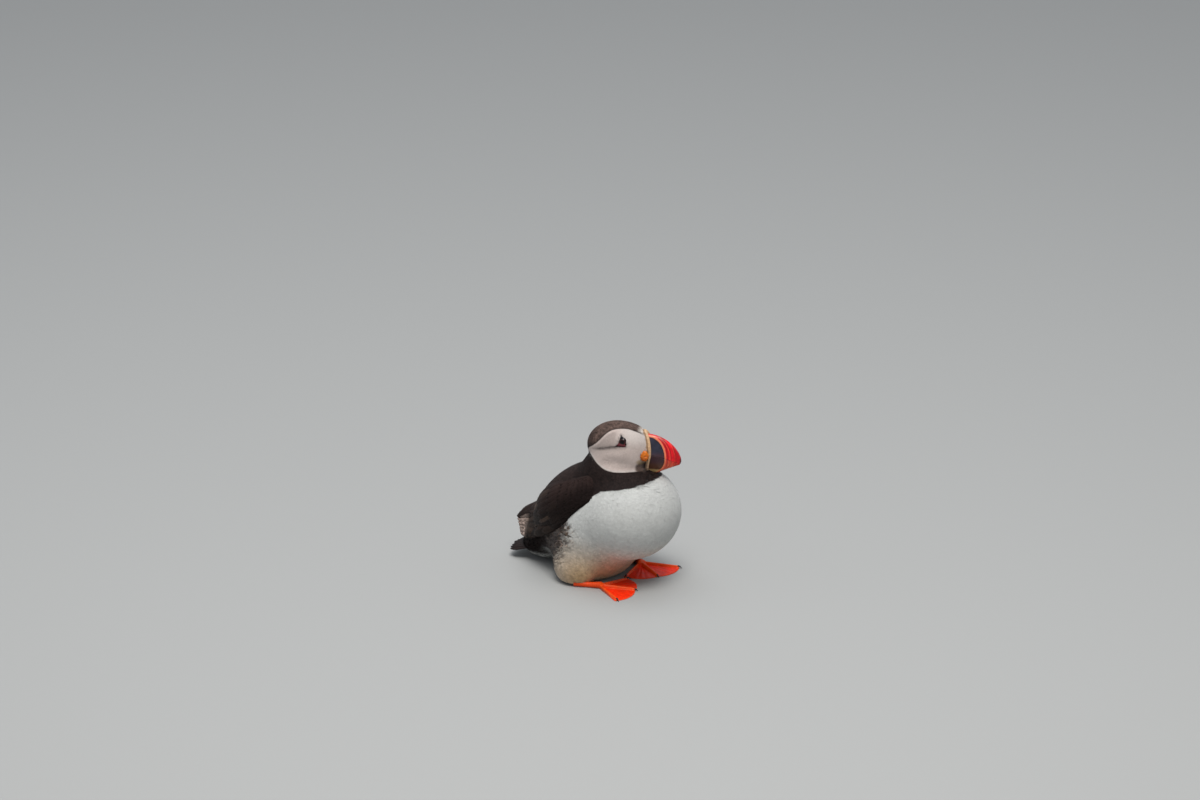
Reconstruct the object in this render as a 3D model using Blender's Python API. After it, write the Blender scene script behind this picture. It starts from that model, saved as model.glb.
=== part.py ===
"""A life-size Atlantic puffin resting on its shanks, breast up, with its head turned a little to its left.

Sizes are in millimetres and are scaled to metres when a mesh is made. The bird is worked out in its own frame:
+X is the way the body faces, +Y is its left, +Z is up, z = 0 is the ground, and the origin lies midway between the
two toe joints. The last step moves the whole bird so that the middle of its bounding box stands at the origin.
"""

import math

import bmesh
import bpy
import numpy as np
from mathutils import Matrix, Vector

MM = 0.001
GAP = 0.3  # clear space between neighbouring solids

# Body forms: centre, half-sizes and pitch in degrees (front up) of each rounded mass under the plumage.
BODY_FORMS = (
    ("trunk", (-16, 0, 52), (64, 46, 42), 40),
    ("breast", (14, 0, 66), (43, 46, 42), 35),
    ("mantle", (-44, 0, 65), (50, 38, 30), 42),
    ("rump", (-74, 0, 27), (30, 25, 18), 22),
    ("undertail", (-82, 0, 13), (23, 17, 10), 0),
    ("belly", (-22, 0, 32), (33, 46, 46), -20),
    ("left thigh", (-25, 34.5, 14), (19, 14.5, 18), 0),
    ("right thigh", (-25, -34.5, 14), (19, 14.5, 18), 0),
    ("neck", (-7, 0, 97), (30, 30, 29), 0),
)
BODY_BLEND = 9.0  # how widely two body forms flow into each other
HEAD_BLEND = 5.0
NECK_BLEND = 4.0
BELLY_LEVEL = 0.0  # height at which the resting belly is flattened
BELLY_SOFTNESS = 5.0

# The head has its own frame: x along the bill, z up, with its origin inside the skull.
HEAD_PLACE = (-1.0, 1.5, 123.0)
HEAD_TURN = 24.0  # degrees to the bird's left
HEAD_TILT = -5.0  # degrees; negative brings the right cheek up
HEAD_FORMS = (
    ("skull", (-1.0, 0, 3), (29, 20, 22.2)),
    ("brow", (11, 0, 5.2), (15, 12.5, 15.5)),
    ("face", (9, 0, -3), (17.5, 14.5, 20)),
    ("left cheek", (-1, 8, -7.5), (22, 13, 14)),
    ("right cheek", (-1, -8, -7.5), (22, 13, 14)),
)

# The body surface is found along rays that leave a short upright core, low in the trunk and high in the skull.
CORE_LOW = (-16.0, 0.0, 46.0)
CORE_HIGH = (-3.0, 2.0, 122.0)
RAY_REACH = 160.0
BODY_COLUMNS = 40
LOW_ROWS, SIDE_ROWS, HIGH_ROWS = 8, 12, 8
COLUMN_CROWDING = 0.28  # draws the columns together at breast and tail, where the body is farthest from the core

JAW_CUT = ((0.0, 0.0, -14.5), (0.2, 0.0, 0.98))  # in the head's frame: a point and the direction of the head
NECK_CORNER = (-30.0, 86.0)  # x and z where the two cuts between neck and trunk meet, in the bird's frame
COLLAR_RISE = 0.2  # slope of the forward cut
NAPE_LEAN = 40.0  # degrees the rear cut leans back from upright
BILL_CUT = ((25.0, 0.0, -0.5), (0.99, 0.0, 0.12))  # in the head's frame, where feathers end and horn begins

# Bill, in the head's frame.
CULMEN_CENTRE = (26.0, -9.5)
CULMEN_RADII = (29.5, 26.0)
CULMEN_START = 96.0  # degrees round that arc, at the face
GAPE_START = (25.6, -1.5)
BILL_TIP = (55.5, -9.2)
CHIN = (28.0, -19.6)
CHIN_LENGTH = 6.0  # level stretch under the chin before the lower edge rises to the tip
BILL_HALF_WIDTH = 7.0
CULMEN_HALF_WIDTH = 2.4
RIDGE_THICKNESS = 2.6
RIDGE_RISE = 0.9

EYE_PLACE = (5.1, 13.6, 10.8)
EYE_RADIUS = 5.0
UPPER_PLATE = ((4.9, 16.6, 15.6), (2.5, 1.2, 2.9), -22)  # centre, half-sizes, lean in degrees
LOWER_PLATE = ((5.2, 18.2, 6.6), (4.2, 1.0, 1.2), 6)
ROSETTE = ((24.0, 10.6, -1.8), (3.8, 2.4, 4.7))

# Wing edges at stations from wrist to tip, for the left side.
WING_LOWER = ((9, 33, 92), (-14, 41, 77), (-38, 43, 54), (-66, 35, 37), (-91, 19, 25), (-108, 8, 21))
WING_UPPER = ((0, 26, 104), (-20, 26, 99), (-46, 23, 84), (-74, 17, 66), (-97, 9, 49), (-115, 5, 36))
WING_STATIONS, WING_STRIPS = 15, 7
WING_RISE = 3.4
WING_TIP_THICKNESS = 1.6
WING_ROOT_THICKNESS = 8.0

TAIL_ROOT = (-76.0, 0.0, 19.0)
TAIL_TIP = (-117.0, 0.0, 8.5)
TAIL_HALF_ANGLE = 17.0
TAIL_ARCH = 3.0
TAIL_THICKNESS = (4.0, 1.2)

TOE_JOINTS = {"left": (-4.0, 35.0), "right": (1.0, -33.0)}
TOE_IN = 25.0
SHANK = 22.0
SHANK_RADII = (3.3, 3.0, 2.6, 2.5, 2.7, 3.0)
TOES = (("inner", 41, 28.5, 1.5), ("middle", 0, 33.5, 1.9), ("outer", -49, 36.0, 1.7))
WEB_THICKNESS = 0.9
WEB_SCALLOP = 0.03
KNUCKLE_RADIUS = 3.4
CLAW_LENGTH = 5.6
CLAW_RADIUS = 1.15

COLOURS = {
    "white_plumage": ((0.62, 0.61, 0.57), 0.85),
    "dark_plumage": ((0.035, 0.027, 0.024), 0.8),
    "face_plumage": ((0.42, 0.36, 0.33), 0.85),
    "bill_red": ((0.62, 0.035, 0.02), 0.4),
    "bill_cream": ((0.62, 0.45, 0.28), 0.45),
    "gape_skin": ((0.75, 0.24, 0.01), 0.5),
    "eye": ((0.03, 0.012, 0.01), 0.08),
    "eye_plate": ((0.06, 0.05, 0.06), 0.5),
    "foot_skin": ((0.78, 0.1, 0.008), 0.45),
    "claw": ((0.015, 0.013, 0.012), 0.35),
}


def turn(yaw=0.0, pitch=0.0, tilt=0.0):
    """Rotation matrix: tilt degrees left side up, then pitch degrees nose up, then yaw degrees to the left."""
    matrix = Matrix.Rotation(math.radians(-pitch), 3, "Y") @ Matrix.Rotation(math.radians(tilt), 3, "X")
    return np.array(Matrix.Rotation(math.radians(yaw), 3, "Z") @ matrix)


HEAD_MATRIX = turn(yaw=HEAD_TURN, tilt=HEAD_TILT)


def from_head(points):
    """Points of the head's frame in the bird's frame."""
    return np.asarray(points, float) @ HEAD_MATRIX.T + np.array(HEAD_PLACE)


def form_distance(points, centre, radii, matrix):
    """Approximate distance outside a turned ellipsoid, negative inside it."""
    local = (points - np.array(centre, float)) @ matrix
    radii = np.array(radii, float)
    scaled = np.linalg.norm(local / radii, axis=-1)
    slope = np.linalg.norm(local / radii**2, axis=-1) + 1e-9
    return scaled * (scaled - 1) / slope


def flow(a, b, width):
    """Smooth minimum: the union of two forms with a soft seam of this width."""
    share = np.clip(0.5 + 0.5 * (b - a) / width, 0, 1)
    return b * (1 - share) + a * share - width * share * (1 - share)


def body_distance(points):
    """Approximate distance outside the whole feathered body, negative inside it."""
    body = None
    for _, centre, radii, pitch in BODY_FORMS:
        form = form_distance(points, centre, radii, turn(pitch=pitch))
        body = form if body is None else flow(body, form, BODY_BLEND)
    head = None
    for _, centre, radii in HEAD_FORMS:
        form = form_distance(points, from_head(centre), radii, HEAD_MATRIX)
        head = form if head is None else flow(head, form, HEAD_BLEND)
    whole = flow(body, head, NECK_BLEND)
    return -flow(-whole, points[..., 2] - BELLY_LEVEL, BELLY_SOFTNESS)


def outward(points):
    """Unit gradient of body_distance."""
    step = 0.2
    slope = np.stack([body_distance(points + d) - body_distance(points - d) for d in np.eye(3) * step], -1)
    return slope / np.linalg.norm(slope, axis=-1, keepdims=True)


def body_rings(growth=0.0):
    """Rings of points on the body's surface, pushed out by growth, from under the belly to the crown."""
    low, high = np.array(CORE_LOW), np.array(CORE_HIGH)
    below = [(low, angle) for angle in np.linspace(-90, 0, LOW_ROWS, endpoint=False)[1:]]
    beside = [(low + (high - low) * t, 0.0) for t in np.linspace(0, 1, SIDE_ROWS, endpoint=False)]
    above = [(high, angle) for angle in np.linspace(0, 90, HIGH_ROWS, endpoint=False)]
    rows = below + beside + above
    turns = np.linspace(0, 2 * math.pi, BODY_COLUMNS, endpoint=False)
    turns = turns - COLUMN_CROWDING * np.sin(2 * turns)
    starts = np.array([row[0] for row in rows])[:, None, :]
    rise = np.radians([row[1] for row in rows])[:, None]
    rays = np.stack([np.cos(rise) * np.cos(turns), np.cos(rise) * np.sin(turns), np.sin(rise) + 0 * turns], -1)
    steps = np.linspace(0, RAY_REACH, 81)
    inside = np.stack([body_distance(starts + rays * step) < growth for step in steps])
    last = len(steps) - 1 - np.argmax(inside[::-1], axis=0)
    near, far = steps[last], steps[np.minimum(last + 1, len(steps) - 1)]
    for _ in range(16):
        middle = (near + far) / 2
        held = body_distance(starts + rays * middle[..., None]) < growth
        near, far = np.where(held, middle, near), np.where(held, far, middle)
    return starts + rays * near[..., None]


def material(slot):
    colour, roughness = COLOURS[slot]
    made = bpy.data.materials.get(slot) or bpy.data.materials.new(slot)
    made.use_nodes = True
    shader = made.node_tree.nodes["Principled BSDF"]
    shader.inputs["Base Color"].default_value = (*colour, 1)
    shader.inputs["Roughness"].default_value = roughness
    made.diffuse_color = (*colour, 1)
    return made


def add_object(name, mesh, slot=None):
    """Links a mesh as an object: a part if it has a slot, and otherwise a hidden cutter."""
    made = bpy.data.objects.new(name, mesh)
    collection = "puffin" if slot else "cutters"
    bpy.data.collections[collection].objects.link(made)
    if slot:
        mesh.materials.append(material(slot))
        mesh.shade_smooth()
        mesh.set_sharp_from_angle(angle=math.radians(40))
    else:
        made.hide_render = True
        made.display_type = "WIRE"
    return made


def mesh_of(name, points, faces):
    mesh = bpy.data.meshes.new(name)
    mesh.from_pydata([tuple(p) for p in np.asarray(points) * MM], [], faces)
    mesh.validate()
    return mesh


def ring_faces(rows, columns):
    """Triangles that join each ring to the next, facing out when the rings turn left and climb."""
    faces = []
    for row in range(rows - 1):
        for column in range(columns):
            after = (column + 1) % columns
            first, second = row * columns, (row + 1) * columns
            faces.append((first + column, first + after, second + after))
            faces.append((first + column, second + after, second + column))
    return faces


def closed_rings(name, rings):
    """A mesh through closed rings of points, with a flat face over the first ring and the last."""
    rows, columns = rings.shape[:2]
    faces = ring_faces(rows, columns)
    faces.append(tuple(reversed(range(columns))))
    faces.append(tuple(range((rows - 1) * columns, rows * columns)))
    mesh = mesh_of(name, rings.reshape(-1, 3), faces)
    face_out(mesh)
    return mesh


def face_out(mesh):
    work = bmesh.new()
    work.from_mesh(mesh)
    bmesh.ops.recalc_face_normals(work, faces=work.faces)
    work.to_mesh(mesh)
    work.free()


def cut_with(part, *cutters):
    """Takes hidden cutters away from a part."""
    for cutter in cutters:
        boolean = part.modifiers.new("clear of " + cutter.name, "BOOLEAN")
        boolean.operation = "DIFFERENCE"
        boolean.solver = "EXACT"
        boolean.object = cutter


def plane_in_bird(cut):
    """A cut given in the head's frame, in the bird's frame."""
    point, normal = (np.array(v, float) for v in cut)
    return from_head(point), HEAD_MATRIX @ (normal / np.linalg.norm(normal))


def keep_side(mesh, point, normal, ahead):
    """Cuts a closed mesh at a plane, half a gap back from it, and closes the side that is kept."""
    sign = 1 if ahead else -1
    place = (np.array(point) + np.array(normal) * sign * GAP / 2) * MM
    work = bmesh.new()
    work.from_mesh(mesh)
    everything = work.verts[:] + work.edges[:] + work.faces[:]
    bmesh.ops.bisect_plane(
        work,
        geom=everything,
        plane_co=Vector(place),
        plane_no=Vector(normal) * sign,
        clear_inner=True,
        dist=1e-7,
    )
    edges = [edge for edge in work.edges if edge.is_boundary]
    bmesh.ops.edgeloop_fill(work, edges=edges)
    bmesh.ops.recalc_face_normals(work, faces=work.faces)
    work.to_mesh(mesh)
    work.free()


def neck_planes():
    """The cut under the collar and the cut behind the nape: a shared point and the direction of the neck from each."""
    corner = np.array([NECK_CORNER[0], 0.0, NECK_CORNER[1]])
    collar = np.array([-COLLAR_RISE, 0.0, 1.0])
    lean = math.radians(NAPE_LEAN)
    nape = np.array([math.cos(lean), 0.0, math.sin(lean)])
    return (corner, collar / np.linalg.norm(collar)), (corner, nape)


def neck_space():
    """A wedge that holds everything above both neck cuts, half a gap beyond them."""
    (corner, collar), (_, nape) = neck_planes()
    reach, half_width = 150.0, 80.0
    forward = np.array([collar[2], 0.0, -collar[0]])
    backward = np.array([-nape[2], 0.0, nape[0]])
    apex = corner - (collar + nape) * GAP / 2 / (1 + collar @ nape)
    outline = [apex, apex + forward * reach, apex + forward * reach + [0, 0, reach], apex + backward * reach]
    rings = np.array([[p + [0, y, 0] for p in outline] for y in (-half_width, half_width)])
    return add_object("neck_space", closed_rings("neck_space", rings))


def make_body():
    """Trunk, neck and head: one form parted by thin plane cuts."""
    rings = body_rings()
    jaw = plane_in_bird(JAW_CUT)
    face = plane_in_bird(BILL_CUT)
    collar, nape = neck_planes()
    cuts = {
        "trunk": [],
        "neck": [(collar, True), (nape, True), (jaw, False)],
        "head": [(jaw, True), (face, False)],
    }
    slots = {"trunk": "white_plumage", "neck": "dark_plumage", "head": "face_plumage"}
    made = {}
    for name, planes in cuts.items():
        mesh = closed_rings(name, rings)
        for (point, normal), ahead in planes:
            keep_side(mesh, point, normal, ahead)
        made[name] = add_object(name, mesh, slots[name])
    cut_with(made["trunk"], neck_space())
    return made


def culmen(u):
    """Point of the bill's upper outline, u from the face to the tip."""
    angle = np.radians(CULMEN_START * (1 - u**2.5))
    x = CULMEN_CENTRE[0] + CULMEN_RADII[0] * np.cos(angle)
    z = CULMEN_CENTRE[1] + CULMEN_RADII[1] * np.sin(angle)
    return x, z + (BILL_TIP[1] - CULMEN_CENTRE[1]) * u**6


def gape(u):
    """Point of the line where the two halves of the bill meet."""
    along = 1 - (1 - u) ** 1.65
    x = GAPE_START[0] + (BILL_TIP[0] - GAPE_START[0]) * along
    return x, GAPE_START[1] + (BILL_TIP[1] - GAPE_START[1]) * along**1.3


def lower_edge(u):
    """Point of the bill's lower outline: level under the chin, then rising to the tip."""
    along = 1 - (1 - u) ** 1.3
    x = CHIN[0] + (BILL_TIP[0] - 1.2 - CHIN[0]) * along
    rise = np.maximum(0, x - CHIN[0] - CHIN_LENGTH) / (BILL_TIP[0] - 1.2 - CHIN[0] - CHIN_LENGTH)
    return x, CHIN[1] + (BILL_TIP[1] - 1.0 - CHIN[1]) * rise


def bill_rings(edge, gap, stations=12, points=8):
    """Sections of one half of the bill, from the face to the tip, in the head's frame.

    A section runs from the gape to the outer edge on one side, bulging forwards, and back on the other. It is as wide
    as the bill at the gape and thins to a rounded keel at the edge."""
    u = np.linspace(0.0, 0.985, stations)[:, None]
    t = np.linspace(0, 1, points)[None, :]
    gape_x, gape_z = gape(u)
    edge_x, edge_z = edge(u)
    away = np.sign(edge_z - gape_z)
    gape_z = gape_z + away * gap / 2
    x = gape_x + (edge_x - gape_x) * t + 2.6 * 4 * t * (1 - t) * np.sin(math.pi * u) ** 0.7
    z = gape_z + (edge_z - gape_z) * t
    wide = 0.5 + BILL_HALF_WIDTH * (1 - u) ** 0.75
    keel = np.minimum(wide * 0.9, 0.45 + CULMEN_HALF_WIDTH * (1 - u) ** 0.45)
    width = (wide + (keel - wide) * t**0.8) * np.sqrt(np.clip(1 - t**7, 0.0, 1)) + 0.12
    right = np.stack([x, -width, z], -1)
    left = np.stack([x, width, z], -1)[:, ::-1]
    return np.concatenate([right, left], axis=1)


def make_bill():
    """Upper and lower halves of the bill, with the swollen ridge that stands between horn and feathers."""
    parts = {}
    for name, edge in (("bill_upper", culmen), ("bill_lower", lower_edge)):
        rings = from_head(bill_rings(edge, GAP))
        parts[name] = add_object(name, closed_rings(name, rings), "bill_red")
    point, normal = plane_in_bird(BILL_CUT)
    front = point + normal * (RIDGE_THICKNESS + GAP)
    for part in parts.values():
        keep_side(part.data, front, normal, ahead=True)
    parts["bill_ridge"] = add_object("bill_ridge", ridge_mesh(point, normal), "bill_cream")
    return parts


def ridge_mesh(point, normal):
    """A rounded plate across the bill's root, standing proud of it all round."""
    turns = np.linspace(0, 2 * math.pi, 24, endpoint=False)
    half_depth = 19.6
    up = np.cross(normal, HEAD_MATRIX @ np.array([0.0, 1.0, 0.0]))
    up = up if up[2] > 0 else -up
    side = HEAD_MATRIX @ np.array([0.0, 1.0, 0.0])
    rings = []
    for along, shrink in ((0.0, 0.8), (0.4, 0.0), (1.5, 0.0), (2.0, 0.9)):
        depth = half_depth - shrink
        width = BILL_HALF_WIDTH + RIDGE_RISE - shrink
        spread = np.abs(np.cos(turns)) ** 0.9 * np.sign(np.cos(turns))
        ring = point + normal * (GAP / 2 + along / 2 * RIDGE_THICKNESS)
        ring = ring + spread[:, None] * width * side + np.sin(turns)[:, None] * depth * up
        rings.append(ring)
    return closed_rings("bill_ridge", np.array(rings))


def ellipsoid(name, centre, radii, slot, lean=0.0, growth=0.0, segments=14, rings=8):
    """A ball stretched to radii, in the head's frame, leaning lean degrees towards the crown."""
    work = bmesh.new()
    bmesh.ops.create_uvsphere(work, u_segments=segments, v_segments=rings, radius=1.0)
    scale = Matrix.Diagonal(Vector([(r + growth) * MM for r in radii]).to_4d())
    scale[3][3] = 1
    side = 1 if centre[1] > 0 else -1
    tilt = Matrix.Rotation(math.radians(-lean * side), 4, "X")
    frame = Matrix.Translation(Vector(from_head(centre)) * MM) @ Matrix(HEAD_MATRIX.tolist()).to_4x4()
    work.transform(frame @ tilt @ scale)
    mesh = bpy.data.meshes.new(name)
    work.to_mesh(mesh)
    work.free()
    return add_object(name, mesh, slot)


def make_face(head, bill):
    """Eyes, the horny plates above and below each, and the fleshy rosettes at the corners of the gape."""
    for side, word in ((1, "left"), (-1, "right")):
        eye_place = (EYE_PLACE[0], side * EYE_PLACE[1], EYE_PLACE[2])
        eye_radii = (EYE_RADIUS,) * 3
        ellipsoid("eye_" + word, eye_place, eye_radii, "eye")
        eye_space = ellipsoid("eye_space_" + word, eye_place, eye_radii, None, growth=GAP)
        cut_with(head, eye_space)
        for name, (centre, radii, lean) in (("upper", UPPER_PLATE), ("lower", LOWER_PLATE)):
            place = (centre[0], side * centre[1], centre[2])
            plate = ellipsoid(f"eye_plate_{name}_{word}", place, radii, "eye_plate", lean, segments=12, rings=6)
            space = ellipsoid(f"plate_space_{name}_{word}", place, radii, None, lean, GAP, segments=12, rings=6)
            cut_with(plate, eye_space)
            cut_with(head, space)
        centre, radii = ROSETTE
        place = (centre[0], side * centre[1], centre[2])
        ellipsoid("rosette_" + word, place, radii, "gape_skin")
        space = ellipsoid("rosette_space_" + word, place, radii, None, growth=GAP)
        cut_with(head, space)
        for part in bill.values():
            cut_with(part, space)


def curve_through(stations, count):
    """A smooth curve through evenly numbered points, sampled count times (Catmull-Rom)."""
    stations = np.array(stations, float)
    padded = np.concatenate([2 * stations[:1] - stations[1:2], stations, 2 * stations[-1:] - stations[-2:-1]])
    place = np.linspace(0, len(stations) - 1, count)
    span = np.minimum(place.astype(int), len(stations) - 2)
    t = (place - span)[:, None]
    a, b, c, d = (padded[span + k] for k in range(4))
    return 0.5 * (2 * b + (c - a) * t + (2 * a - 5 * b + 4 * c - d) * t**2 + (3 * b - 3 * c + d - a) * t**3)


def wing_mesh(name, side):
    """A folded wing: a sheet between its lower and upper edge, pressed outwards until it clears the body."""
    mirror = np.array([1.0, side, 1.0])
    lower = curve_through(WING_LOWER, WING_STATIONS)[:, None] * mirror
    upper = curve_through(WING_UPPER, WING_STATIONS)[:, None] * mirror
    across = np.linspace(0, 1, WING_STRIPS)[None, :, None]
    along = np.linspace(0, 1, WING_STATIONS)[:, None, None]
    sheet = lower + (upper - lower) * across
    rise = WING_RISE * (0.22 + 0.78 * np.sin(math.pi * across) ** 0.6) * (1 - 0.35 * along)
    for _ in range(3):
        lack = np.maximum(0, rise[..., 0] - body_distance(sheet))
        sheet = sheet + outward(sheet) * lack[..., None]
    thickness = WING_TIP_THICKNESS + (WING_ROOT_THICKNESS - WING_TIP_THICKNESS) * (1 - along) ** 1.5
    inward = np.array([0.05, -side, -0.25])
    inner = sheet + thickness * inward / np.linalg.norm(inward)
    rings = np.concatenate([sheet, inner[:, ::-1]], axis=1)
    return closed_rings(name, rings)


def tail_mesh():
    """A short rounded fan, arched across and thinner towards its rim."""
    root, tip = np.array(TAIL_ROOT), np.array(TAIL_TIP)
    back = (tip - root) / np.linalg.norm(tip - root)
    length = np.linalg.norm(tip - root)
    along = np.linspace(0.0, 1.0, 7)[:, None]
    across = np.linspace(-1, 1, 11)[None, :]
    reach = length * (1 - 0.1 * across**2)
    angle = np.radians(TAIL_HALF_ANGLE) * across
    start = 9.0 * across
    x = reach * along * np.cos(angle)
    y = start + reach * along * np.sin(angle)
    drop = TAIL_ARCH * across**2 * (0.4 + 0.6 * along)
    middle = root + x[..., None] * back + y[..., None] * np.array([0, 1.0, 0])
    middle = middle - drop[..., None] * np.array([0, 0, 1.0])
    thick = (TAIL_THICKNESS[0] + (TAIL_THICKNESS[1] - TAIL_THICKNESS[0]) * along) * (1 - 0.3 * across**2)
    up = np.array([0, 0, 0.5]) * thick[..., None]
    rings = np.concatenate([middle + up, (middle - up)[:, ::-1]], axis=1)
    return closed_rings("tail", rings)


def make_wings_and_tail():
    """Folded wings and the tail fan, cut back to lie on the body with a thin gap."""
    body_space = add_object("body_space", closed_rings("body_space", body_rings(GAP)))
    tail = add_object("tail", tail_mesh(), "dark_plumage")
    cut_with(tail, body_space)
    for side, word in ((1, "left"), (-1, "right")):
        wing = add_object("wing_" + word, wing_mesh("wing_" + word, side), "dark_plumage")
        cut_with(wing, body_space)


def tube(name, points, radii, slot, growth=0.0, sides=2):
    """A round limb through points, as a mesh with welded ends, with this much more radius and quarter-turn steps."""
    curve = bpy.data.curves.new(name, "CURVE")
    curve.dimensions = "3D"
    curve.bevel_depth = MM
    curve.bevel_resolution = sides
    curve.use_fill_caps = True
    spline = curve.splines.new("POLY")
    spline.points.add(len(points) - 1)
    for spot, place, radius in zip(spline.points, points, radii):
        spot.co = (*(np.array(place, float) * MM), 1)
        spot.radius = radius + growth
    holder = bpy.data.objects.new(name + "_line", curve)
    bpy.context.scene.collection.objects.link(holder)
    bpy.context.view_layer.update()
    graph = bpy.context.evaluated_depsgraph_get()
    mesh = bpy.data.meshes.new_from_object(holder.evaluated_get(graph))
    bpy.data.objects.remove(holder)
    work = bmesh.new()
    work.from_mesh(mesh)
    bmesh.ops.remove_doubles(work, verts=work.verts, dist=1e-6)
    bmesh.ops.recalc_face_normals(work, faces=work.faces)
    work.to_mesh(mesh)
    work.free()
    return add_object(name, mesh, slot)


def foot_frame(side):
    """Place of a foot's toe joint, and the unit directions ahead of it and to its outer side."""
    joint = np.array([*TOE_JOINTS["left" if side > 0 else "right"], 0.0])
    heading = math.radians(-TOE_IN * side)
    ahead = np.array([math.cos(heading), math.sin(heading), 0.0])
    outer = np.array([-math.sin(heading), math.cos(heading), 0.0]) * side
    return joint, ahead, outer


def toe_direction(side, angle):
    """Unit direction of a toe, angle degrees inwards from straight ahead of the foot."""
    _, ahead, outer = foot_frame(side)
    return ahead * math.cos(math.radians(angle)) - outer * math.sin(math.radians(angle))


def foot_mesh(name, side):
    """Three toes joined by webs: a fan ridged along each toe and scalloped between them, on a one-piece flat sole."""
    joint = foot_frame(side)[0]
    angles = np.array([toe[1] for toe in TOES], float)
    lengths = np.array([toe[2] for toe in TOES])
    heights = np.array([toe[3] for toe in TOES])
    sweep = np.linspace(angles[0] + 3.5, angles[-1] - 3.5, 23)
    reach = np.interp(-sweep, -angles, lengths)
    gaps = np.interp(-sweep, -angles, np.arange(3.0))
    reach = reach * (1 - WEB_SCALLOP * np.abs(np.sin(math.pi * gaps)) ** 0.8)
    share = np.linspace(0.03, 1.0, 9)[:, None]
    radius = share * reach[None, :]
    direction = np.array([toe_direction(side, angle) for angle in sweep])
    flat = joint + radius[..., None] * direction[None]
    high = np.full(radius.shape, WEB_THICKNESS)
    for angle, length, height in zip(angles, lengths, heights):
        off = radius * np.sin(np.radians(sweep - angle))[None, :]
        slim = height * (1.15 - 0.4 * radius / length)
        ridge = 2 * slim * np.sqrt(np.clip(1 - (off / slim) ** 2, 0, 1))
        high = np.maximum(high, ridge)
    knuckle = KNUCKLE_RADIUS * 1.7 * np.sqrt(np.clip(1 - (radius / (2 * KNUCKLE_RADIUS)) ** 2, 0, 1))
    high = np.maximum(high, knuckle)
    top = flat + high[..., None] * np.array([0, 0, 1.0])
    rows, columns = radius.shape
    spot = np.arange(rows * columns).reshape(rows, columns)
    edge = np.concatenate([spot[0], spot[1:, -1], spot[-1, -2::-1], spot[-2:0:-1, 0]])
    points = np.concatenate([top.reshape(-1, 3), flat.reshape(-1, 3)[edge]])
    first, second = spot[:-1, :-1], spot[1:, :-1]
    third, fourth = spot[1:, 1:], spot[:-1, 1:]
    faces = np.stack([[first, second, third], [first, third, fourth]]).transpose(2, 3, 0, 1).reshape(-1, 3).tolist()
    below = rows * columns + np.arange(len(edge))
    faces += np.stack([edge, np.roll(edge, -1), np.roll(below, -1), below], axis=1).tolist()
    faces.append(below[::-1].tolist())
    mesh = mesh_of(name, points, faces)
    face_out(mesh)
    return mesh


def make_legs(trunk):
    """Shanks that lie on the ground, webbed feet with flat soles, and a black claw on each toe."""
    for side, word in ((1, "left"), (-1, "right")):
        joint, ahead, _ = foot_frame(side)
        steps = np.linspace(0, 1, len(SHANK_RADII))
        path = [joint - ahead * (SHANK * (1 - step) + 1.0) + [0, 0, r] for step, r in zip(steps, SHANK_RADII)]
        leg = tube("leg_" + word, path, SHANK_RADII, "foot_skin", sides=3)
        keep_side(leg.data, (0, 0, GAP / 2), (0, 0, 1), ahead=True)
        path[0] = path[0] - ahead * GAP
        cut_with(trunk, tube("leg_space_" + word, path, SHANK_RADII, None, growth=GAP, sides=3))
        foot = add_object("foot_" + word, foot_mesh("foot_" + word, side), "foot_skin")
        cut_with(leg, foot_space(word, side))
        for toe, angle, length, _ in TOES:
            make_claw(f"claw_{word}_{toe}", side, angle, length)


def foot_space(word, side):
    """Clear space round a foot's knuckle, where the shank ends."""
    joint, ahead, _ = foot_frame(side)
    work = bmesh.new()
    bmesh.ops.create_cube(work, size=1.0)
    depth = 20.0
    centre = joint + ahead * (depth / 2 - GAP)
    frame = Matrix.Translation(Vector(centre) * MM) @ Matrix.Rotation(math.radians(-TOE_IN * side), 4, "Z")
    work.transform(frame @ Matrix.Diagonal(Vector((depth * MM, 40 * MM, 40 * MM, 1))))
    mesh = bpy.data.meshes.new("foot_space_" + word)
    work.to_mesh(mesh)
    work.free()
    return add_object("foot_space_" + word, mesh)


def make_claw(name, side, angle, length):
    """A tapered claw that curves down from the end of a toe."""
    direction = toe_direction(side, angle)
    tip = foot_frame(side)[0] + direction * (length + GAP)
    steps = np.linspace(0, 1, 6)
    rise = CLAW_RADIUS + 0.25 + 1.0 * np.sin(math.pi * np.minimum(1, steps * 1.1)) - 0.95 * steps**2
    points = [tip + direction * CLAW_LENGTH * s + np.array([0, 0, r]) for s, r in zip(steps, rise)]
    radii = CLAW_RADIUS * (1 - 0.75 * steps**1.3)
    tube(name, points, radii, "claw")


def stand_at_origin():
    """Moves the bird so that the middle of its bounding box stands at the origin."""
    bpy.context.view_layer.update()
    graph = bpy.context.evaluated_depsgraph_get()
    parts = bpy.data.collections["puffin"].objects
    corners = np.array([obj.evaluated_get(graph).matrix_world @ Vector(c) for obj in parts for c in obj.bound_box])
    low, high = corners.min(axis=0), corners.max(axis=0)
    bird = bpy.data.objects.new("puffin_frame", None)
    bpy.context.scene.collection.objects.link(bird)
    for obj in [*parts, *bpy.data.collections["cutters"].objects]:
        obj.parent = bird
    bird.location = (-(low[0] + high[0]) / 2, -(low[1] + high[1]) / 2, -low[2])


def clear_scene():
    for obj in list(bpy.data.objects):
        bpy.data.objects.remove(obj, do_unlink=True)
    for name in ("puffin", "cutters"):
        bpy.context.scene.collection.children.link(bpy.data.collections.new(name))


def main():
    clear_scene()
    body = make_body()
    bill = make_bill()
    make_face(body["head"], bill)
    make_wings_and_tail()
    make_legs(body["trunk"])
    stand_at_origin()


main()
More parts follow.
